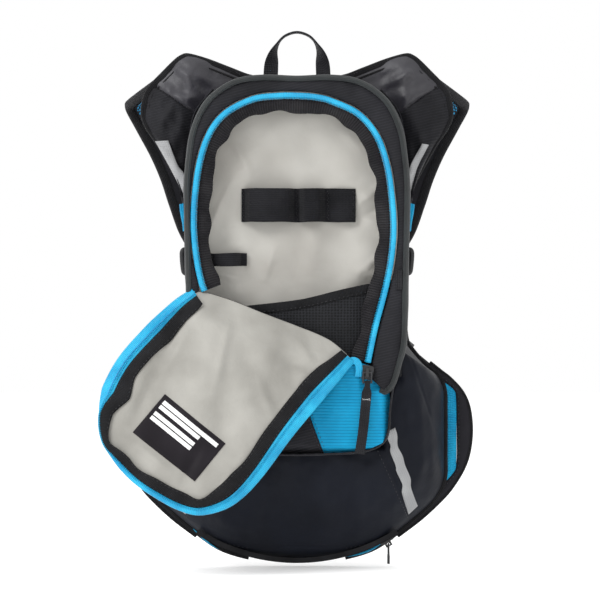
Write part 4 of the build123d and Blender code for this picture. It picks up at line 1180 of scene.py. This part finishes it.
flapLoop = evenly(np.vstack([offsetLine(free, -1.0), offsetLine(foldLine, 0)[1:-1]]), 520, closed=True)
shrink = np.linspace(1, 0.004, 92)
flapCentre = np.array((-66, 152.0))
flatGrid = flapCentre + (flapLoop[None] - flapCentre) * shrink[:, None, None]
x, z = flatGrid[..., 0], flatGrid[..., 1]
inEdge = np.clip((1 - shrink) / 0.16, 0, 1)[:, None]
d = np.clip(belowHinge(x, z), 0, 300)
puff = 3.2 * smooth(inEdge) * smooth(d / 26)
flapGrid = grid(x, flapDepth(x, z) + puff - 2.0, z)
# the flap's lining uses the darker copy of the lining cloth: painted shade
piece = sheetMesh("flapLiningTaffeta", flapGrid, cloth["flapLiningShaded"], wrap=True, plane=True, thick=0.8)
ridesFlap(piece, "grey_lining", "flap_lining")
shell = grid(x, flapDepth(x, z) - 3.4 - 1.5 * smooth(inEdge), z)
piece = sheetMesh("flapPanelRipstop", shell, cloth["ripstop"], outward=(0, -1, 0), wrap=True, plane=True,
                  thick=1.0)
ridesFlap(piece, "ripstop_black", "flap_panel")
s = np.linspace(0, 1, 14)
rows = [onFlap(offsetLine(free, -(blendOf(-0.6, 1, k) * tapeWide)),
               0.4 + 1.6 * math.sqrt(max(0.0, 1 - (2 * k - 1) ** 2)), 2.2 * (1 - k) ** 2) for k in s]
piece = sheetMesh("flapZipTapeCoated", np.array(rows), tape["blueZip"], thick=1.0)
ridesFlap(piece, "blue_zip", "flap_zip_tape")
hidden = np.exp(-((share - 0.33) / 0.05) ** 6)  # 1 where the binding is folded over the tape
rolled = onFlap(offsetLine(free, -(0.9 + 2.2 * hidden)), 0.2, 0.6 + 3.4 * hidden)
piece = swept("flapZipRoll", rolled, roundSection(2.2, 3.0, 14), tape["blueZip"])
ridesFlap(piece, "blue_zip")
groove = share < 0.27
grooveLine = onFlap(offsetLine(free, -2.5), 1.9)[groove]
piece = swept("flapZipGroove", grooveLine, roundSection(0.8, 0.6, 8), hard["bluePlastic"])
ridesFlap(piece, "blue_zip")
turnOver = through([(41, 78.4, 178.5), (46.5, 79.6, 184.6), (51.5, 80.2, 187), (55.5, 80.0, 184.5),
                    (56.6, 79.4, 179), (56.0, 78.4, 172)], 60)
piece = swept("zipTapeTurnOver", turnOver, roundSection(6.4, 1.8, 14, 4), tape["blueZip"])
finishPiece(piece, "pack", "blue_zip")
coilRow("flapZipCoil", onFlap(offsetLine(free, -tapeWide * 0.52), 1.9), "flap", tape["blueZip"],
        radius=0.75, pitch=1.7, wireRadius=0.34)
bandWide = np.interp(share, [0, 0.06, 0.3, 0.36, 0.42, 0.55, 0.66, 0.8, 0.95, 1],
                     [8, 13, 12.5, 8, 7.5, 10.5, 12, 12.5, 11.5, 8]) + wave
rows = []
for k in np.linspace(0, 1, 18):
    line = offsetLine(free, -(tapeWide - 0.8 + k * bandWide))
    rows.append(onFlap(line, 1.0 + 2.6 * math.sin(math.pi * k) ** 0.6 + 1.6 * k))
piece = sheetMesh("flapBindingTape", np.array(rows), tape["blackBinding"], thick=1.2)
ridesFlap(piece, "binding", "flap_binding")
for k, word in ((0.12, "Outer"), (0.86, "Inner")):
    line = offsetLine(free, -(tapeWide - 0.8 + k * bandWide))[6:-6]
    piece = stitchRow("flapStitches" + word,
                      onFlap(line, 1.2 + 2.6 * math.sin(math.pi * k) ** 0.6 + 1.6 * k), "flap", "binding",
                      hard["blackThread"])
label = {"corners": [(-118.5, 157.5), (-64, 113.5), (-91, 80.5), (-146.5, 124)],
         "lines": [(0.05, 0.94, 0.10, 0.19), (0.05, 0.70, 0.215, 0.30), (0.05, 0.70, 0.38, 0.465),
                   (0.05, 0.70, 0.49, 0.575)]}


def labelPatch(name, u0, u1, v0, v1, lift, material, thick, count=(50, 30)):
    # a patch of the label: bilinear between its four corners
    a, b, c, e = (np.array(k, float) for k in label["corners"])
    u = np.linspace(u0, u1, count[0])[None, :, None]
    v = np.linspace(v0, v1, count[1])[:, None, None]
    flat = (a * (1 - u) + b * u) * (1 - v) + (e * (1 - u) + c * u) * v
    x, z = flat[..., 0], flat[..., 1]
    piece = sheetMesh(name, grid(x, flapDepth(x, z) + 3.2 - 2.0 + lift, z), material, thick=thick)
    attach(piece, "flap")
    return piece


piece = labelPatch("flapLabelSatin", 0, 1, 0, 1, 0.7, cloth["satinLabel"], 0.5)
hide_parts("flap_label")
for i, (u0, u1, v0, v1) in enumerate(label["lines"]):
    labelPatch("flapLabelLine" + str(i + 1), u0, u1, v0, v1, 0.85, cloth["labelInk"], 0.1, (50, 6))
print("flap made")

# zip pull and side pieces
pull = {"from": (64, 81.4, 167), "to": (57.0, 84.5, 102), "width": 9.0, "thick": 2.2}
start, finish = np.array(pull["from"], float), np.array(pull["to"], float)
line = through([tuple(start + (0, 0, 1.5)), tuple(start + (0, 0, -3)),
                tuple(blendOf(start, finish, 0.3) + (0.6, 0.8, 0)),
                tuple(blendOf(start, finish, 0.65) + (0.8, 1.0, 0)), tuple(finish)], 90)
sizes = np.stack([np.interp(np.linspace(0, 1, 90), [0, 0.08, 0.16, 1],
                            [5.0, 5.2, pull["width"], pull["width"]]),
                  np.interp(np.linspace(0, 1, 90), [0, 0.06, 0.14, 1],
                            [4.8, 4.8, pull["thick"], pull["thick"]])], 1)
section = roundSection(1, 1, 20, 6)
profile = section[None] * sizes[:, None, :]
piece = swept("mainPullTabWebbing", line, profile, tape["webbing"])
finishPiece(piece, "main_tab", "webbing", "main_pull_tab")
for name, z0 in (("mainPullTack", 152.5),):
    share = (167 - z0) / 61
    centre = blendOf(start, finish, share) + (0.7, 1.2, 0)
    zigzag = np.stack([centre[0] + np.linspace(-3.6, 3.6, 16), np.full(16, centre[1] + 0.35),
                       centre[2] + 1.1 * (-1) ** np.arange(16)], 1)
    stitchRow(name, zigzag, "main_tab", "webbing", hard["thread"], length=1.9, gap=0.3, radius=0.34)
loopWay = through([(99.8, 51.0), (103, 51.6), (106.6, 53.4), (107.8, 55.6), (106.8, 57.8), (103.2, 58.8),
                   (99.8, 58.4)], 50)
tiltedHigh = np.linspace(331.5, 306, 26)
for side, word in ((1, "Right"), (-1, "Left")):
    # a strip of webbing folded into a loop: the same way in x
    # and depth at every height, leaning in at the foot
    lean = 1.6 * smooth((331.5 - tiltedHigh) / 26)[:, None]
    x = loopWay[None, :, 0] - lean * (loopWay[None, :, 0] - 99.8) / 4
    piece = sheetMesh("sideLoopWebbing" + word,
                      grid(side * x, loopWay[None, :, 1], tiltedHigh[:, None] + 1.8 * (x - 100) / -8),
                      tape["blueWebbing"], outward=lambda c: c - np.array((side * 103.0, 55, 318)),
                      thick=1.2)
    finishPiece(piece, "pack", "blue_webbing", "side_loops")
    frameLine = through([(side * 100.6, 50, 288), (side * 104.2, 51, 288), (side * 105.6, 51, 284),
                         (side * 104.6, 51, 271), (side * 103.2, 51, 267), (side * 100.6, 50, 267)], 70)
    piece = swept("sideBuckleFrame" + word, frameLine, roundSection(4.4, 3.6, 14, 3), hard["blackAcetal"],
                  up=(0, 1, 0))
    finishPiece(piece, "pack", "black_plastic", "side_buckles")
    barLine = np.linspace((side * 102.2, 50.5, 287), (side * 101.8, 50.5, 268), 12)
    piece = swept("sideBuckleBar" + word, barLine, roundSection(5.0, 2.4, 14, 3), hard["blackAcetal"],
                  up=(0, 1, 0))
    finishPiece(piece, "pack", "black_plastic")
x = np.linspace(90.6, 96, 8)[None, :] + np.zeros((12, 1))
z = np.linspace(270, 251, 12)[:, None] + 0 * x
piece = sheetMesh("sideTagWoven", grid(x, frontDepth + 1.6 + 0.3 * np.sin(x), z), tape["webbing"],
                  thick=0.8)
finishPiece(piece, "pack", "webbing", "side_tag")

# harness
strap = {
    "outer": [(106, -1, 460), (121, -13, 453), (137, -34, 443), (151, -56, 434.5), (160, -74, 429),
              (161.5, -80, 426.5), (159.5, -85, 421), (149, -90, 402), (137, -91, 380), (127, -91, 357),
              (119, -91, 333), (108, -90.5, 304), (91, -89.5, 281), (66, -88.5, 262), (40, -88, 259),
              (16, -88, 259)],
    "inner": [(48, -1, 449), (64, -13, 455), (84, -34, 458), (97, -58, 454), (103, -77, 444),
              (103, -87.5, 430), (99.5, -90.5, 412), (95.5, -91, 392), (91, -91, 368), (84, -90.5, 344),
              (74, -89.5, 322), (60, -89, 305), (44, -88, 297), (30, -88, 295), (16, -88, 295)],
}
for side, word in ((1, "right"), (-1, "left")):
    outer, inside = (through(strap[k], 150) * (side, 1, 1) for k in ("outer", "inner"))
    middle = (outer + inside) / 2
    half = (outer - inside) / 2
    tangent = np.gradient(middle, axis=0)
    normal = np.cross(tangent, half)
    normal /= np.linalg.norm(normal, axis=1)[:, None]
    normal *= side
    section = roundSection(2, 1, 36, 3)
    rings = middle[:, None] + half[:, None] * section[None, :, :1] + normal[:, None] * section[None, :,
            1:] * 6.0 * (1 + 0.25 * (1 - section[None, :, :1] ** 2))
    piece = sheetMesh("shoulderStrapPad_" + word, rings, cloth["finNylon"],
                      outward=lambda c: c
                      - middle[((c[:, None] - middle[None, ::5]) ** 2).sum(2).argmin(1) * 5], wrap=True,
                      cap=True)
    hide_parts("shoulder_strap_" + word)
    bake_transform(piece)
    # the side that lies on the wearer: blue mesh between the bindings
    narrow = np.interp(np.linspace(0, 1, 150), [0, 0.2, 0.3, 0.42, 0.56, 0.66, 0.76, 1],
                       [0.7, 0.72, 0.76, 0.66, 0.3, 0.34, 0.66, 0.7])[None, :, None]
    s = blendOf(-0.86, narrow, np.linspace(0, 1, 24)[:, None, None])
    faces = middle[None] + half[None] * s + normal[None] * (-3.9 - 0.9 * (1 - s ** 2))
    outsideFaces = middle[None] + half[None] * s + normal[None] * (3.9 + 0.9 * (1 - s ** 2))
    towards = faces if faces[..., 1].mean() > outsideFaces[..., 1].mean() else outsideFaces
    piece = sheetMesh("shoulderStrapMesh_" + word, towards, mesh["blueMesh"], thick=0.8)
    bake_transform(piece)
    for edge, place in ((outer, "Outer"), (inside, "Inner")):
        drawn = middle + (edge - middle) * 0.95
        piece = swept("shoulderStrapBinding" + place + "_" + word, drawn, roundSection(9.5, 8.6, 16, 2.6),
                      tape["blackBinding"], up=normal)
        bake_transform(piece)
    ends = [np.array((side * 51.5, -88.2, 232.0)), np.array((side * 147, -10, 152.0))]
    run = (ends[1] - ends[0]) / np.linalg.norm(ends[1] - ends[0])
    flat = np.cross(run, (0, 0, 1.0))
    flat /= np.linalg.norm(flat)
    line = ends[0] + (ends[1] - ends[0]) * np.linspace(0, 1, 60)[:, None]
    piece = swept("lowerStrapWebbing_" + word, line, roundSection(20, 1.6, 20, 6), tape["webbing"], up=flat)
    finishPiece(piece, "harness_" + word, "webbing", "lower_strap_" + word)
print("harness made")

# back
boardOutline = through([(0, 447), (40, 448), (62, 455), (87, 463), (100, 465), (112, 459), (130, 442),
                        (140, 430), (139, 415), (128, 390), (112, 352), (102, 318), (96, 262), (98, 215),
                        (112, 185), (130, 168), (134, 150), (134, 80), (122, 56), (92, 30), (60, 12),
                        (30, 7), (0, 6)], 300)
backLoop = evenly(np.vstack([boardOutline, boardOutline[::-1][1:-1] * (-1, 1)]), 560, closed=True)
shrink = np.linspace(1, 0.004, 90)
flatGrid = np.array((0, 235.0)) + (backLoop[None] - np.array((0, 235.0))) * shrink[:, None, None]
x, z = flatGrid[..., 0], flatGrid[..., 1]
piece = sheetMesh("backMeshSpacer", grid(x,
                                         -4.6 - 0.5 * smooth((1 - shrink[:, None]) / 0.1)
                                         + 0.3 * swell(x, z, 40, 71), z), mesh["spacer"],
                  outward=(0, -1, 0), wrap=True, plane=True, thick=1.2)
finishPiece(piece, "pack", "spacer_mesh", "back_mesh")
pads = {
    "Upper": ([(14, 254), (70, 254), (82, 275), (90, 330), (96, 400), (88, 420), (40, 422), (14, 418)],
              "back_pads_upper", (52, 336)),
    "Lower": ([(14, 104), (70, 106), (84, 130), (84, 190), (78, 228), (62, 235), (20, 235), (14, 228)],
              "back_pads_lower", (48, 170)),
}


def padSurface(loopPoints, centre, back=-5.4, crown=-14.8, rows=34):
    # a crowned pad: rises steeply from its seam, sqrt(1 - r^5), to a nearly flat top
    ring = through(loopPoints, 150, closed=True)
    r = np.concatenate([np.linspace(1, 0.8, 14), np.linspace(0.78, 0.01, rows - 14)])
    flat = np.array(centre, float) + (ring[None] - np.array(centre, float)) * r[:, None, None]
    depth = back + (crown - back) * np.sqrt(np.clip(1 - r ** 5, 0, 1))[:, None]
    x, z = flat[..., 0], flat[..., 1]
    channel = sum(1.8 * np.exp(-((z - c) / 2.2) ** 2) for c in np.arange(120, 420, 26))
    return grid(x, depth + channel * np.clip(1 - r ** 5, 0, 1)[:, None], z)


filling = {"voxel": 0.005, "pressure": 4.0, "frames": 20, "mostMove": 0.0022, "start": 0.94}


def filledAsCloth(piece, seamDepth):
    # blown up as cloth: the seam and the back are held, the rest is
    # pushed out evenly and moves no farther than mostMove
    bpy.context.view_layer.objects.active = piece
    remesh = piece.modifiers.new("even", "REMESH")
    remesh.mode = "VOXEL"
    remesh.voxel_size = filling["voxel"]
    bpy.context.view_layer.update()
    even = bpy.data.meshes.new_from_object(piece.evaluated_get(bpy.context.evaluated_depsgraph_get()))
    material = piece.data.materials[0]
    piece.modifiers.clear()
    piece.data = even
    even.materials.clear()
    even.materials.append(material)
    count = len(even.vertices)
    flat = np.empty(count * 3)
    even.vertices.foreach_get("co", flat)
    start = flat.reshape(-1, 3)
    seam = float(toFrame((0, seamDepth, 0))[1])
    held = start[:, 1] < seam + 0.0012
    smaller = start.copy()
    smaller[:, 1] = np.where(held, start[:, 1], seam + (start[:, 1] - seam) * filling["start"])
    even.vertices.foreach_set("co", smaller.ravel())
    group = piece.vertex_groups.new(name="seam")
    group.add(np.nonzero(held)[0].tolist(), 1.0, "REPLACE")
    simulated = piece.modifiers.new("fill", "CLOTH")
    settings = simulated.settings
    settings.vertex_group_mass = "seam"
    settings.use_pressure = True
    settings.uniform_pressure_force = filling["pressure"]
    settings.quality = 6
    settings.tension_stiffness = settings.compression_stiffness = 30
    settings.effector_weights.gravity = 0
    simulated.point_cache.frame_start = 1
    simulated.point_cache.frame_end = filling["frames"]
    for frameNumber in range(1, filling["frames"] + 1):
        bpy.context.scene.frame_set(frameNumber)
    done = bpy.data.meshes.new_from_object(piece.evaluated_get(bpy.context.evaluated_depsgraph_get()))
    moved = np.empty(count * 3)
    done.vertices.foreach_get("co", moved)
    step = moved.reshape(-1, 3) - start
    size = np.linalg.norm(step, axis=1)[:, None]
    final = start + step * np.minimum(1, filling["mostMove"] / np.maximum(size, 1e-9))
    piece.modifiers.clear()
    piece.vertex_groups.clear()
    bpy.data.meshes.remove(done)
    bpy.context.scene.frame_set(1)
    even.vertices.foreach_set("co", final.ravel())
    corners = np.empty(len(even.loops), int)
    even.loops.foreach_get("vertex_index", corners)
    layer = even.uv_layers.new(name="UVMap")
    layer.data.foreach_set("uv", (final[corners][:, [0, 2]] * 1000).ravel())
    even.polygons.foreach_set("use_smooth", np.ones(len(even.polygons), bool))
    finer = piece.modifiers.new("soft", "SUBSURF")
    finer.levels = finer.render_levels = 1
    print("filled", piece.name, "moved up to", round(float(size.max()) * 1000, 2), "mm before the cap")
    return piece


for name, (points, node, centre) in pads.items():
    for side, word in ((1, "Right"), (-1, "Left")):
        piece = sheetMesh("backPad" + name + word, padSurface(points, centre) * (side, 1, 1),
                          mesh["spacer"], outward=lambda c: c - c.mean(0), wrap=True, cap=True, plane=True)
        filledAsCloth(piece, -5.4)
        finishPiece(piece, "pack", "pad_foam", node)
piece = sheetMesh("lumbarPad",
                  padSurface([(-54, 38), (54, 38), (66, 60), (68, 80), (60, 87), (-60, 87), (-68, 80),
                              (-66, 60)], (0, 62)), mesh["spacer"], outward=lambda c: c - c.mean(0),
                  wrap=True, cap=True, plane=True)
filledAsCloth(piece, -5.4)
finishPiece(piece, "pack", "pad_foam", "lumbar_pad")

# reservoir
low, high = (np.array(v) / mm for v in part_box("reservoir_bladder"))
centre = np.array(((low[0] + high[0]) / 2, -(low[1] + high[1]) / 2, (low[2] + high[2]) / 2 - baseLevel))
halfSize = (high - low) / 2
a = np.linspace(0, tau, 121)[:-1]
rows = []
for b in np.concatenate([np.linspace(-1, -0.9, 12), np.linspace(-0.88, 0.88, 60), np.linspace(0.9, 1, 12)]):
    wide = (1 - abs(b) ** 9) ** (1 / 4) * 0.985 + 0.015
    deep = (1 - abs(b) ** 3.2) ** 0.6 * 0.97 + 0.03
    c, s = np.cos(a), np.sin(a)
    x = halfSize[0] * wide * np.sign(c) * abs(c) ** 0.62
    dent = 1 - 0.28 * np.exp(-(x / 4.0) ** 2) * (abs(b) < 0.6)
    depth = halfSize[1] * deep * np.sign(s) * abs(s) ** 1.15 * dent
    rows.append(np.stack([centre[0] + x, centre[1] + depth, centre[2] + halfSize[2] * b + 0 * a], 1))
piece = sheetMesh("reservoirFilm", np.array(rows), hard["film"], outward=lambda c: c - centre, wrap=True,
                  cap=True)
finishPiece(piece, "reservoir", "clear_film", "reservoir_bladder")
print("back and reservoir made")

# finishes of the carried-over parts
finishes = {
    "blackZinc": ["main_slider", "main_pull_link", "base_slider", "base_pull"],
    "blackAcetal": ["buckle_socket", "buckle_plug", "buckle_arm_upper", "buckle_arm_lower",
                    "strap_adjuster_left", "strap_adjuster_right", "reservoir_hanger"],
    "bluePlastic": ["reservoir_cap", "reservoir_collar", "reservoir_outlet", "release_button"],
    "foamBoard": ["back_board"],
}
for key, names in finishes.items():
    for name in names:
        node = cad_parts[name]
        node.data.materials.clear()
        node.data.materials.append(hard[key])
for side, ends in ((1, [(86, 22.5), (78, 15.5), (70, 10), (58, 5.4), (46, 2.6)]),
                   (-1, [(97, 29), (90, 22.5), (82, 15.5), (73, 9.5)])):
    line = through(ends, 60)
    wide = np.sin(np.linspace(0.12, np.pi - 0.05, 60))[:, None, None]
    piece = swept("baseZipCrescent" + ("Right" if side > 0 else "Left"), at(line, 4.6) * (side, 1, 1),
                  roundSection(1.9, 2.2, 12)[None] * wide, tape["blueZip"])
    finishPiece(piece, "pack", "blue_zip")
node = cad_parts["base_zip_tape"]
node.data.materials.clear()
node.data.materials.append(tape["blackBinding"])

# camera, light and floor
view = {"distance": 3200, "centre": (2.8, 45, 242), "span": 552}
camera = bpy.data.cameras.new("camera")
camera.sensor_width = 36
camera.lens = 36 * view["distance"] / view["span"]
eye = bpy.data.objects.new("camera", camera)
eye.location = tuple(toFrame((view["centre"][0], view["centre"][1] + view["distance"], view["centre"][2])))
eye.rotation_euler = (math.pi / 2, 0, 0)
bpy.context.scene.collection.objects.link(eye)
bpy.context.scene.camera = eye
lamps = {  # x, depth, height, size, watts
    "key": (-1500, 1500, 1700, 1.0, 30),
    "fill": (1900, 2200, 700, 2.0, 2),
    "front": (200, 3000, 500, 2.4, 1.5),
    "top": (0, 500, 2000, 1.6, 3),
    "backLeft": (-1400, -1400, 1200, 1.6, 10),
    "backRight": (1400, -1600, 900, 1.6, 3),
}
for name, (x, depth, z, size, watts) in lamps.items():
    lamp = bpy.data.lights.new(name, "AREA")
    lamp.size = size
    lamp.energy = watts
    holder = bpy.data.objects.new(name, lamp)
    place = toFrame((x, depth, z))
    holder.location = tuple(place)
    aim = toFrame((0, 40, 240)) - place
    holder.rotation_euler = Vector(aim).to_track_quat("-Z", "Y").to_euler()
    bpy.context.scene.collection.objects.link(holder)
bpy.context.scene.view_settings.view_transform = "Standard"
world = bpy.data.worlds.new("studio")
world.use_nodes = True
world.node_tree.nodes["Background"].inputs[0].default_value = linear("#ffffff")
world.node_tree.nodes["Background"].inputs[1].default_value = 1.0
bpy.context.scene.world = world
turns = np.linspace(0, tau, 97)[:-1][:, None]
reach = np.array([1, 300, 800, 1600, 3000, 6000])[None]
points = grid(np.cos(turns) * reach, np.sin(turns) * reach, -6 + 0 * turns * reach).transpose(1, 0, 2)[::-1]
white, tree, shader = newMaterial("paintedFloorMattWhite")
shader.inputs["Base Color"].default_value = linear("#f4f4f4")
shader.inputs["Roughness"].default_value = 0.95
shader.inputs["Emission Color"].default_value = linear("#ffffff")
shader.inputs["Emission Strength"].default_value = 0.3
floorPiece = sheetMesh("floorPlain", points, white, outward=(0, 0, 1), wrap=True)
